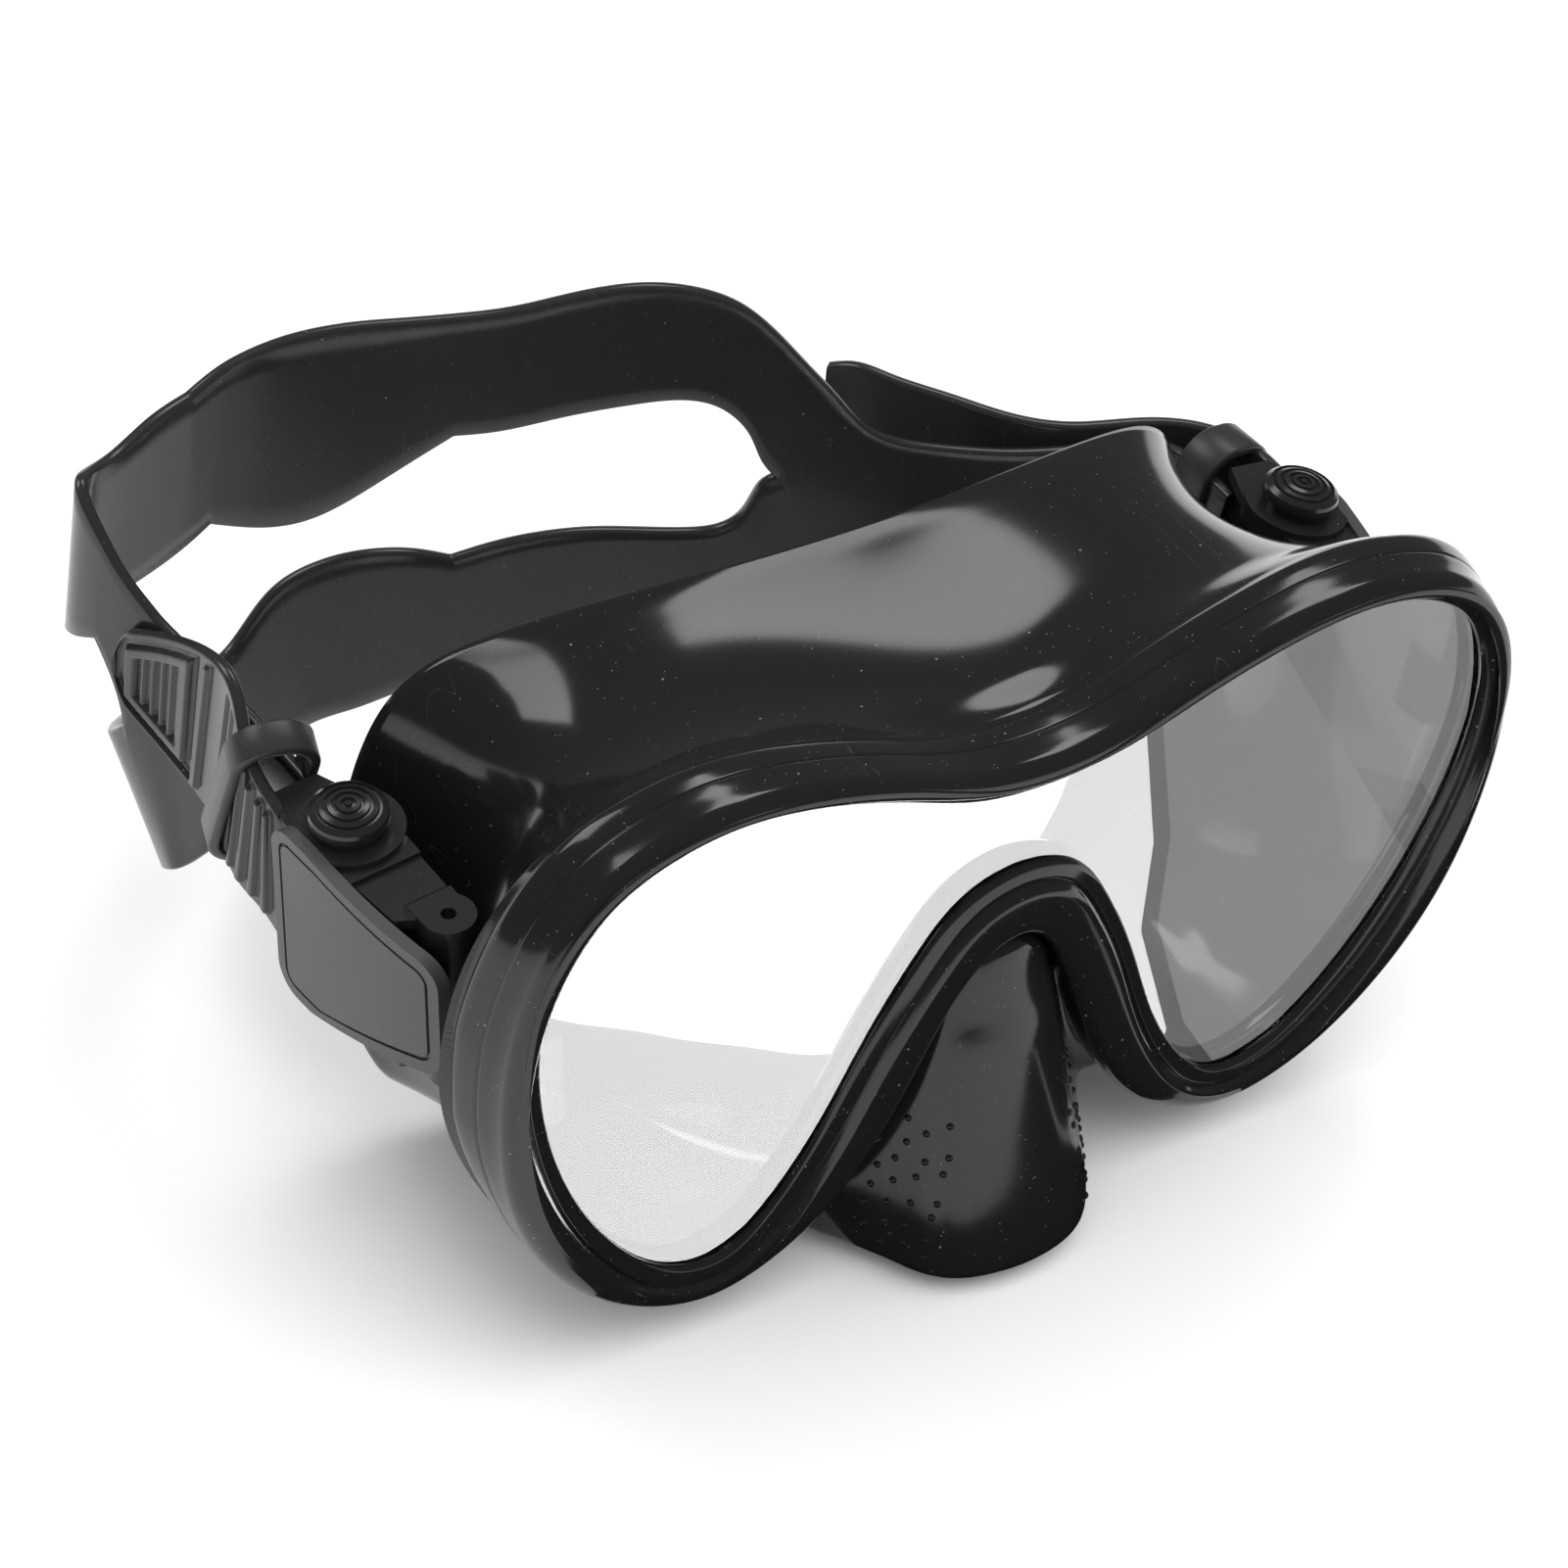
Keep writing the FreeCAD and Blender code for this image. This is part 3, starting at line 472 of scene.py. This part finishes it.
def strap_half(name, lo, hi):
    """The part of the strap between two fractional stations, as one closed skin open at its ends."""
    at = np.linspace(lo, hi, int(round((hi - lo) * 10)) + 1)
    stations = [list(s) if len(s) == 4 else [s[0], s[1], s[1], s[2]] for s in STRAP]
    edges = [cusped(np.array([s[e] for s in stations], float), CUSPS[e], at) for e in range(4)]
    split = (at > SPLIT[0] + 1e-6) & (at < SPLIT[1] - 1e-6)
    bands, normals = [], []
    for top, bottom in ((edges[0], edges[1]), (edges[2], edges[3])):
        f = np.linspace(0, 1, ROWS)[None, :, None]
        grid = top[:, None] * (1 - f) + bottom[:, None] * f
        along = np.gradient(grid, axis=0)
        n = np.cross(along, np.gradient(grid, axis=1))
        n /= np.linalg.norm(n, axis=2, keepdims=True)
        bands.append(grid)
        normals.append(n)
    middle = normals[0][:, -1] + normals[1][:, 0]
    middle /= np.linalg.norm(middle, axis=1, keepdims=True)
    normals[0][~split, -1] = middle[~split]
    normals[1][~split, 0] = middle[~split]
    toward = bands[0][:, 0] - np.array([0, 60, 0])
    sign = 1 if np.mean(np.sum(normals[0][:, 0] * toward, axis=1)) > 0 else -1
    points, faces = [], []

    def add(rows):
        """Adds rows of equal length and returns their first index."""
        start = len(points)
        for row in rows:
            points.extend(row)
        return start

    count = len(at)

    def quads(start, rows, flip, keep=None):
        for r in range(rows - 1):
            for c in range(count - 1):
                if keep is not None and not keep[c]:
                    continue
                a, b = start + r * count + c, start + (r + 1) * count + c
                faces.append((a, a + 1, b + 1, b) if flip else (a, b, b + 1, a + 1))

    for b, (grid, n) in enumerate(zip(bands, normals)):
        outer = grid + n * HALF_THICK * sign
        inner = grid - n * HALF_THICK * sign
        quads(add([outer[:, r] for r in range(ROWS)]), ROWS, sign > 0)
        quads(add([inner[:, r] for r in range(ROWS)]), ROWS, sign < 0)
        for row, step in ((0, 1), (ROWS - 1, ROWS - 2)):
            reach = across(grid[:, row], grid[:, step]) * 0.5
            rows = [outer[:, row]] + strip_points(outer[:, row], inner[:, row], reach) \
                + [inner[:, row]]
            free = (b == 0) == (row == 0)
            keep = None if free else split[:-1] | split[1:]
            quads(add(rows), 5, (row == 0) != (sign > 0), keep)
    obj = mesh_object(name, points, faces)
    merge(obj)
    return obj


def merge(obj, distance=2e-6):
    """Joins points that lie together and drops the unused ones."""
    mesh = bmesh.new()
    mesh.from_mesh(obj.data)
    bmesh.ops.remove_doubles(mesh, verts=mesh.verts, dist=distance)
    loose = [v for v in mesh.verts if not v.link_faces]
    bmesh.ops.delete(mesh, geom=loose, context="VERTS")
    mesh.to_mesh(obj.data)
    mesh.free()
    obj.data.shade_smooth()


def frame_point(x, y, z):
    return tuple(to_frame((x, y, z))[0])


MEET = 23.5
strap_near = strap_half("strap_right_half", 0, MEET)
strap_far = strap_half("strap_left_half", MEET, len(STRAP) - 1)
frame_point(-50, 110, 0)
frame_point(-73, 66, 0)
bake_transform(strap_near)
frame_point(20, 95, 0)
frame_point(72, 68, 0)
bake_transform(strap_far)
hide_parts("head_strap")


# ------------------------------------------------------------------ strap tails and keepers
HINGE = (72.5, 2.5)        # the hinge axis' x and z at the middle of the buckle
LEAN = math.radians(8)
ROLLER = 3.8               # the roller's distance outward of the hinge axis
ROLLER_Y = 52
WRAP = 3.5                 # radius of the strap's turn round the roller
TAIL_HALF = 11.5
TAIL_COLUMNS = 96
# Top and bottom edges of the two tails from the roller to the tip.
TAILS = {
    "right": [((-82.1, 52.5, 14.3), (-79, 52.5, -8.6)), ((-82.2, 54.2, 15.0), (-79.2, 56.2, -7.2)),
              ((-82.7, 57.5, 16.8), (-79.8, 62.0, -6.2)), ((-82.4, 61.5, 19.4), (-79.6, 66.0, -5.2)),
              ((-81.2, 66.0, 22.8), (-78.6, 70.5, -3.6)), ((-80.5, 70.5, 24.4), (-78.0, 75.0, -2.9)),
              ((-80.3, 76.0, 23.4), (-77.9, 79.5, -2.5)), ((-80.4, 82.0, 20.8), (-78.2, 84.5, -1.8)),
              ((-80.9, 87.0, 18.2), (-79.1, 89.0, -0.4)), ((-81.6, 91.0, 15.9), (-80.4, 92.2, 1.6)),
              ((-82.1, 93.7, 12.6), (-81.4, 93.9, 4.6)), ((-82.3, 94.6, 9.6), (-82, 94.6, 7.4))],
    "left": [((82.1, 52.5, 14.3), (79, 52.5, -8.6)), ((82.0, 60, 14.2), (79.2, 60, -8.8)),
             ((79.2, 66.8, 13.8), (77, 66.4, -8.6)), ((72.8, 72.3, 13.2), (71.2, 72, -8.4)),
             ((62.6, 76.4, 12.9), (62.4, 76.4, -8)), ((54.8, 81, 13.8), (55.2, 80.6, -5)),
             ((48.5, 87.5, 14.8), (49, 87, 0)), ((43, 94.5, 15.2), (43.5, 94, 4)),
             ((39.8, 99.8, 14.8), (40.2, 99.6, 6.8)), ((38.2, 102.3, 13.4), (38.4, 102.2, 9))]}


def buckle_place(side, out, y, up):
    """Lens-plane point from a place in the buckle: outward of the hinge axis, depth, along the axis."""
    return (side * (HINGE[0] + out * math.cos(LEAN) + up * math.sin(LEAN)), y,
            HINGE[1] - out * math.sin(LEAN) + up * math.cos(LEAN))


def step_up(x):
    """0 below zero and 1 above, over 0.3 mm."""
    return np.clip(x / 0.3 + 0.5, 0, 1)


def tail_relief(s, w, half, length):
    """Height of the tail's outer face at a distance from the roller and across the width, in mm."""
    def bar(centre, width):
        return np.clip((width / 2 - np.abs(s - centre)) / 0.25 + 0.5, 0, 1)

    def within(margin):
        return step_up(half - margin - np.abs(w))

    def ring(near, far):
        return step_up(edge - near) * step_up(far - edge)

    h = np.zeros_like(s)
    for k in range(5):
        h += 0.85 * bar(3.0 + 2.5 * k, 1.15) * within(1.5)
    tab = length - 17.5
    h -= 0.8 * (bar(tab - 10.2, 1.2) + bar(tab - 8.0, 1.2)) * within(1.6)
    h += 0.7 * bar(tab - 1.9, 1.2) * within(1.2)
    edge = np.minimum(half - np.abs(w), length - s)
    edge = np.minimum(edge, s - tab + 0.2)
    h += 0.35 * ring(2.5, 4.1) - 0.8 * ring(0.5, 2.2)
    well = step_up(edge - 4.4)
    for k in range(5):
        h -= 0.7 * bar(tab + 5.4 + 1.9 * k, 1.0) * well
    return h


def make_tail(name, side):
    """The strap's end from its turn round the roller to the tip."""
    sign = 1 if side == "left" else -1
    stations = np.array(TAILS[side], float)
    steps = np.linalg.norm(np.diff(stations.mean(1), axis=0), axis=1)
    u = np.append(0, np.cumsum(steps))
    at = np.linspace(0, u[-1], int(u[-1] / 0.22))
    top, bottom = cubic(u, stations[:, 0], at), cubic(u, stations[:, 1], at)
    f = np.linspace(0, 1, TAIL_COLUMNS)[None, :, None]
    grid = top[:, None] * (1 - f) + bottom[:, None] * f
    n = np.cross(np.gradient(grid, axis=0), np.gradient(grid, axis=1))
    n /= np.linalg.norm(n, axis=2, keepdims=True)
    n *= np.sign(np.mean(n[..., 0]) * sign)
    half = np.linalg.norm(top - bottom, axis=1)[:, None] / 2
    w = (1 - 2 * f[..., 0]) * half
    s = np.repeat(at[:, None], TAIL_COLUMNS, 1)
    relief = tail_relief(s, w, np.repeat(half, TAIL_COLUMNS, 1), u[-1])
    outer = grid + n * (HALF_THICK + relief)[..., None]
    inner = grid - n * HALF_THICK

    def turn(r):
        """The face at one radius of the half turn round the roller."""
        return np.array([[buckle_place(sign, ROLLER - r * math.cos(a), ROLLER_Y - r * math.sin(a), q)
                          for q in np.linspace(TAIL_HALF, -TAIL_HALF, TAIL_COLUMNS)]
                         for a in np.linspace(0, math.pi, 13)])

    outer = np.vstack([turn(WRAP + HALF_THICK), outer])
    inner = np.vstack([turn(WRAP - HALF_THICK), inner])
    count = len(outer)
    top_edge = strip_points(outer[:, 0], inner[:, 0], across(inner[:, 0], inner[:, 2]) * 0.5)
    bottom_edge = strip_points(inner[:, -1], outer[:, -1], across(inner[:, -1], inner[:, -3]) * 0.5)
    ring = np.concatenate([outer.transpose(1, 0, 2)[::-1], top_edge,
                           inner.transpose(1, 0, 2), bottom_edge])
    faces = grid_faces(len(ring), count, close_rows=True)
    for column in (0, count - 1):
        loop_ids = [r * count + column for r in range(len(ring))]
        faces.append(loop_ids if column else loop_ids[::-1])
    obj = mesh_object(name, ring.reshape(-1, 3), faces)
    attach(obj, "buckle_" + side)
    return obj


def make_keeper(name, side, centre, height, back, half_height, half_depth, width):
    """Rubber band round both runs of the strap; height and back point along and across it."""
    h = Vector(height).normalized()
    e = Vector(back).normalized()
    e = (e - h * e.dot(h)).normalized()
    out = e.cross(h)
    thick, edge, corner = 1.6, 0.35, 5.6
    section = [(edge, 0), (thick - edge, 0), (thick - edge * 0.3, edge * 0.3), (thick, edge),
               (thick, width - edge), (thick - edge * 0.3, width - edge * 0.3), (thick - edge, width),
               (edge, width), (edge * 0.3, width - edge * 0.3), (0, width - edge), (0, edge),
               (edge * 0.3, edge * 0.3)]
    path = []
    for qx, qy, start in ((1, 1, 0), (-1, 1, 90), (-1, -1, 180), (1, -1, 270)):
        for k in range(13):
            a = math.radians(start + 90 * k / 12)
            path.append((qx * (half_depth - corner), qy * (half_height - corner), math.cos(a), math.sin(a)))
    points = []
    for cx, cy, nx, ny in path:
        for t, along in section:
            r = corner - thick + t
            p = Vector(centre) + out * (cx + nx * r) + h * (cy + ny * r) + e * (along - width / 2)
            points.append(p)
    obj = mesh_object(name, points, grid_faces(len(path), len(section), True, True, flip=True))
    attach(obj, "keeper_" + side)
    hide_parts("keeper_loop_" + side)
    return obj


tail_near = make_tail("strap_tail_right", "right")
tail_far = make_tail("strap_tail_left", "left")
keeper_near = make_keeper("keeper_band_right", "right", (-78.2, 63.4, 8.4), (-0.10, -0.325, 0.94),
                          (0.25, 0.92, 0.30), 14.7, 6.2, 4.8)
keeper_far = make_keeper("keeper_band_left", "left", (77.0, 61.5, 2.4), (0.14, 0, 0.99), (-0.1, 1, 0),
                         14.0, 6.4, 6.2)


# ------------------------------------------------------------------ materials
class Shading:
    """A principled material and short ways to add nodes to it."""

    def __init__(self, name):
        self.material = bpy.data.materials.new(name)
        self.material.use_nodes = True
        self.tree = self.material.node_tree
        self.tree.nodes.clear()
        out = self.tree.nodes.new("ShaderNodeOutputMaterial")
        self.shader = self.tree.nodes.new("ShaderNodeBsdfPrincipled")
        self.link(self.shader.outputs[0], out.inputs[0])
        self.where = self.tree.nodes.new("ShaderNodeTexCoord").outputs["Object"]

    def link(self, a, b):
        self.tree.links.new(a, b)

    def set(self, **values):
        for key, value in values.items():
            self.shader.inputs[key.replace("_", " ")].default_value = value
        return self

    def math(self, operation, a, b=0.0, clamp=False):
        node = self.tree.nodes.new("ShaderNodeMath")
        node.operation, node.use_clamp = operation, clamp
        for slot, value in zip(node.inputs, (a, b)):
            if isinstance(value, (int, float)):
                slot.default_value = value
            else:
                self.link(value, slot)
        return node.outputs[0]

    def noise(self, scale, detail=3.0, rough=0.55):
        node = self.tree.nodes.new("ShaderNodeTexNoise")
        node.inputs["Scale"].default_value = scale
        node.inputs["Detail"].default_value = detail
        node.inputs["Roughness"].default_value = rough
        self.link(self.where, node.inputs["Vector"])
        return node.outputs["Fac"]

    def specks(self, scale, size):
        """1 inside small scattered dots."""
        node = self.tree.nodes.new("ShaderNodeTexVoronoi")
        node.inputs["Scale"].default_value = scale
        self.link(self.where, node.inputs["Vector"])
        near = self.math("LESS_THAN", node.outputs["Distance"], size)
        chosen = self.math("GREATER_THAN", self.noise(scale * 0.37, 1.0), 0.56)
        return self.math("MULTIPLY", near, chosen)

    def scratches(self, scale, width):
        """Thin stretched lines."""
        mapping = self.tree.nodes.new("ShaderNodeMapping")
        mapping.inputs["Rotation"].default_value = (0.4, 0.9, 0.7)
        mapping.inputs["Scale"].default_value = (1, 0.06, 1)
        self.link(self.where, mapping.inputs["Vector"])
        node = self.tree.nodes.new("ShaderNodeTexNoise")
        node.inputs["Scale"].default_value = scale
        node.inputs["Detail"].default_value = 1.0
        self.link(mapping.outputs[0], node.inputs["Vector"])
        off = self.math("ABSOLUTE", self.math("SUBTRACT", node.outputs["Fac"], 0.5))
        line = self.math("LESS_THAN", off, width)
        return self.math("MULTIPLY", line, self.math("GREATER_THAN", self.noise(45, 1.0), 0.6))

    def mix(self, factor, a, b):
        node = self.tree.nodes.new("ShaderNodeMix")
        node.data_type = "RGBA"
        self.link(factor, node.inputs[0])
        node.inputs[6].default_value = (*a, 1)
        node.inputs[7].default_value = (*b, 1)
        return node.outputs[2]

    def span(self, value, low, high):
        node = self.tree.nodes.new("ShaderNodeMapRange")
        self.link(value, node.inputs[0])
        node.inputs[3].default_value, node.inputs[4].default_value = low, high
        return node.outputs[0]

    def bump(self, height, strength, distance, under=None):
        node = self.tree.nodes.new("ShaderNodeBump")
        node.inputs["Strength"].default_value = strength
        node.inputs["Distance"].default_value = distance
        self.link(height, node.inputs["Height"])
        if under:
            self.link(under, node.inputs["Normal"])
        return node.outputs[0]


def soft_black(name, base, rough, grain, dust, dust_tone=0.16, spec=0.5):
    """Moulded black rubber or plastic: fine grain, uneven gloss, dust specks and a few scratches."""
    s = Shading(name).set(Specular_IOR_Level=spec)
    specks = s.math("ADD", s.specks(420, dust), s.specks(1100, dust * 1.3), clamp=True)
    marks = s.math("ADD", specks, s.math("MULTIPLY", s.scratches(140, 0.0008), 0.15), clamp=True)
    s.link(s.mix(marks, base, (dust_tone,) * 3), s.shader.inputs["Base Color"])
    gloss = s.span(s.noise(26, 4), rough * 0.8, rough * 1.25)
    s.link(s.math("ADD", gloss, s.math("MULTIPLY", marks, 0.4)), s.shader.inputs["Roughness"])
    normal = s.bump(s.noise(1500, 2), grain, 0.00004)
    s.link(s.bump(marks, 0.3, 0.00008, normal), s.shader.inputs["Normal"])
    return s.material


def plain(name, base, rough, metal=0.0):
    s = Shading(name).set(Base_Color=(*base, 1), Metallic=metal)
    s.link(s.span(s.noise(90, 4), rough * 0.8, rough * 1.2), s.shader.inputs["Roughness"])
    s.link(s.bump(s.noise(900, 2), 0.15, 0.00003), s.shader.inputs["Normal"])
    return s.material


def glass():
    """Clear tempered glass with a faint unevenness in its faces."""
    s = Shading("glass_clear").set(IOR=1.5, Transmission_Weight=1.0, Roughness=0.0)
    s.link(s.mix(s.noise(60, 3), (0.965, 0.98, 0.975), (0.975, 0.988, 0.983)), s.shader.inputs["Base Color"])
    return s.material


SKIRT = soft_black("silicone_gloss", (0.009, 0.009, 0.0095), 0.12, 0.02, 0.07)
STRAP_SKIN = soft_black("silicone_strap", (0.018, 0.018, 0.019), 0.22, 0.25, 0.06, 0.12)
KEEPER = soft_black("rubber_keeper", (0.022, 0.022, 0.023), 0.36, 0.3, 0.04, 0.12)
PLASTIC = soft_black("plastic_gloss", (0.012, 0.012, 0.013), 0.24, 0.15, 0.05, 0.12)
BUTTON = soft_black("plastic_button", (0.012, 0.012, 0.012), 0.2, 0.1, 0.05, 0.12)
COVER = soft_black("plastic_satin", (0.045, 0.045, 0.047), 0.42, 0.8, 0.05, 0.14)
ACETAL = plain("acetal", (0.03, 0.03, 0.03), 0.4)
STEEL = plain("steel", (0.62, 0.62, 0.61), 0.28, 1.0)
GLASS = glass()
FINISH = {"skirt_silicone": SKIRT, "strap_silicone": STRAP_SKIN, "tempered_glass": GLASS,
          "keeper_rubber": KEEPER, "cover_plastic": COVER, "buckle_plastic": PLASTIC,
          "button_plastic": BUTTON, "acetal_plastic": ACETAL, "stainless_steel": STEEL}


def paint(obj, material):
    """Gives an object one material."""
    obj.data.materials.clear()
    obj.data.materials.append(material)


for part in frame["record"]["subparts"]:
    paint(NODES[part["node"]], FINISH[part["material_slot"]])
for piece in (skirt, *dots):
    paint(piece, SKIRT)
for piece in (strap_near, strap_far, tail_near, tail_far):
    paint(piece, STRAP_SKIN)
for piece in (keeper_near, keeper_far):
    paint(piece, KEEPER)
for name, node in NODES.items():
    if name.startswith(("buckle_base", "buckle_cover", "buckle_anchor")):
        bevel = node.modifiers.new("soft_edges", "BEVEL")
        bevel.width = 0.0004 if "anchor" not in name else 0.0006
        bevel.segments = 3
        bevel.limit_method = "ANGLE"
        bevel.angle_limit = math.radians(35)
        bevel.use_clamp_overlap = True


# ------------------------------------------------------------------ floor, light and camera
def floor(z):
    """A plain pale sheet under the mask."""
    size = 3.0
    mesh = bpy.data.meshes.new("floor")
    mesh.from_pydata([(-size, -size, z), (size, -size, z), (size, size, z), (-size, size, z)], [],
                     [(0, 1, 2, 3)])
    obj = bpy.data.objects.new("floor", mesh)
    bpy.context.scene.collection.objects.link(obj)
    s = Shading("paper").set(Base_Color=(0.9, 0.9, 0.9, 1), Roughness=0.95, Specular_IOR_Level=0.05)
    s.link(s.bump(s.noise(400, 3), 0.1, 0.0001), s.shader.inputs["Normal"])
    mesh.materials.append(s.material)
    return obj


floor(-0.0485)


def area_light(name, direction, distance, size, power):
    """A rectangular lamp that faces the middle of the mask from a direction."""
    target = (0, -0.01, 0)
    light = bpy.data.lights.new(name, "AREA")
    light.shape = "RECTANGLE"
    light.size, light.size_y = size
    light.energy = power
    obj = bpy.data.objects.new(name, light)
    d = Vector(direction).normalized()
    obj.location = Vector(target) + d * distance
    obj.rotation_mode = "QUATERNION"
    obj.rotation_quaternion = d.to_track_quat("Z", "Y")
    bpy.context.scene.collection.objects.link(obj)
    return obj


area_light("softbox_back", (0.42, 0.36, 0.83), 1.2, (0.46, 0.36), 2.2)
area_light("softbox_left", (-0.30, 0.59, 0.70), 1.2, (0.54, 0.5), 3.0)
area_light("overhead", (0.1, -0.3, 1.0), 2.0, (2.4, 2.4), 22).visible_glossy = False


def lens_card(name, outline, brightness):
    """A glowing card on the floor in front that only the glass reflects."""
    height = -0.047
    mesh = bpy.data.meshes.new(name)
    mesh.from_pydata([(x * MM, y * MM, height) for x, y in outline], [], [tuple(range(len(outline)))])
    obj = bpy.data.objects.new(name, mesh)
    bpy.context.scene.collection.objects.link(obj)
    material = bpy.data.materials.new(name)
    material.use_nodes = True
    tree = material.node_tree
    tree.nodes.clear()
    out = tree.nodes.new("ShaderNodeOutputMaterial")
    glow = tree.nodes.new("ShaderNodeEmission")
    glow.inputs[1].default_value = brightness
    tree.links.new(glow.outputs[0], out.inputs[0])
    mesh.materials.append(material)
    obj.visible_camera = obj.visible_diffuse = obj.visible_shadow = obj.visible_transmission = False
    obj.light_linking.receiver_collection = LENS_ONLY


LENS_ONLY = bpy.data.collections.new("lens_only")
LENS_ONLY.objects.link(NODES["lens"])
lens_card("card_near", [(-60, -50), (30, -50), (47, -66), (56, -84.6), (69, -99.4), (84, -122), (86, -140),
                        (-60, -140)], 9.6)
lens_card("card_far", [(48, -50), (150, -50), (170, -140), (89, -140), (87, -122), (72, -99.4), (59, -84.6),
                       (50, -66)], 2.2)
lens_card("card_streak", [(96, -60), (103, -60), (128, -140), (116, -140)], 1.6)

def surroundings(seen, reflected):
    """An even white sky: one strength for the eye and soft light, another for reflections."""
    world = bpy.data.worlds.new("world")
    bpy.context.scene.world = world
    world.use_nodes = True
    nodes, link = world.node_tree.nodes, world.node_tree.links.new
    nodes.clear()
    out = nodes.new("ShaderNodeOutputWorld")
    mix = nodes.new("ShaderNodeMixShader")
    link(nodes.new("ShaderNodeLightPath").outputs["Is Glossy Ray"], mix.inputs[0])
    for socket, strength in ((1, seen), (2, reflected)):
        sky = nodes.new("ShaderNodeBackground")
        sky.inputs[0].default_value = (1, 1, 1, 1)
        sky.inputs[1].default_value = strength
        link(sky.outputs[0], mix.inputs[socket])
    link(mix.outputs[0], out.inputs[0])


surroundings(1.0, 0.12)


def camera():
    """The view's direction, roll and offset in degrees and mm; the lens is 180 mm on a 36 mm sensor."""
    azimuth, elevation, roll = math.radians(-39.593), math.radians(40.0), math.radians(8.886)
    shift_x, shift_z, distance = 29.805, -22.148, 1035.332
    back = Vector((math.sin(azimuth) * math.cos(elevation), -math.cos(azimuth) * math.cos(elevation),
                   math.sin(elevation)))
    right = Vector((0, 0, 1)).cross(back).normalized()
    up = back.cross(right)
    right, up = (right * math.cos(roll) + up * math.sin(roll),
                 up * math.cos(roll) - right * math.sin(roll))
    place = back * distance - right * shift_x - up * shift_z
    data = bpy.data.cameras.new("camera")
    data.sensor_width = 36.0
    data.lens = 8000 / 1601 * 36.0
    data.clip_start, data.clip_end = 0.05, 20
    obj = bpy.data.objects.new("camera", data)
    obj.matrix_world = Matrix(((right.x, up.x, back.x, place.x * MM),
                               (right.y, up.y, back.y, (place.y - SEAL_Y) * MM),
                               (right.z, up.z, back.z, place.z * MM), (0, 0, 0, 1)))
    bpy.context.scene.collection.objects.link(obj)
    bpy.context.scene.camera = obj


camera()
bpy.context.scene.view_settings.view_transform = "Standard"
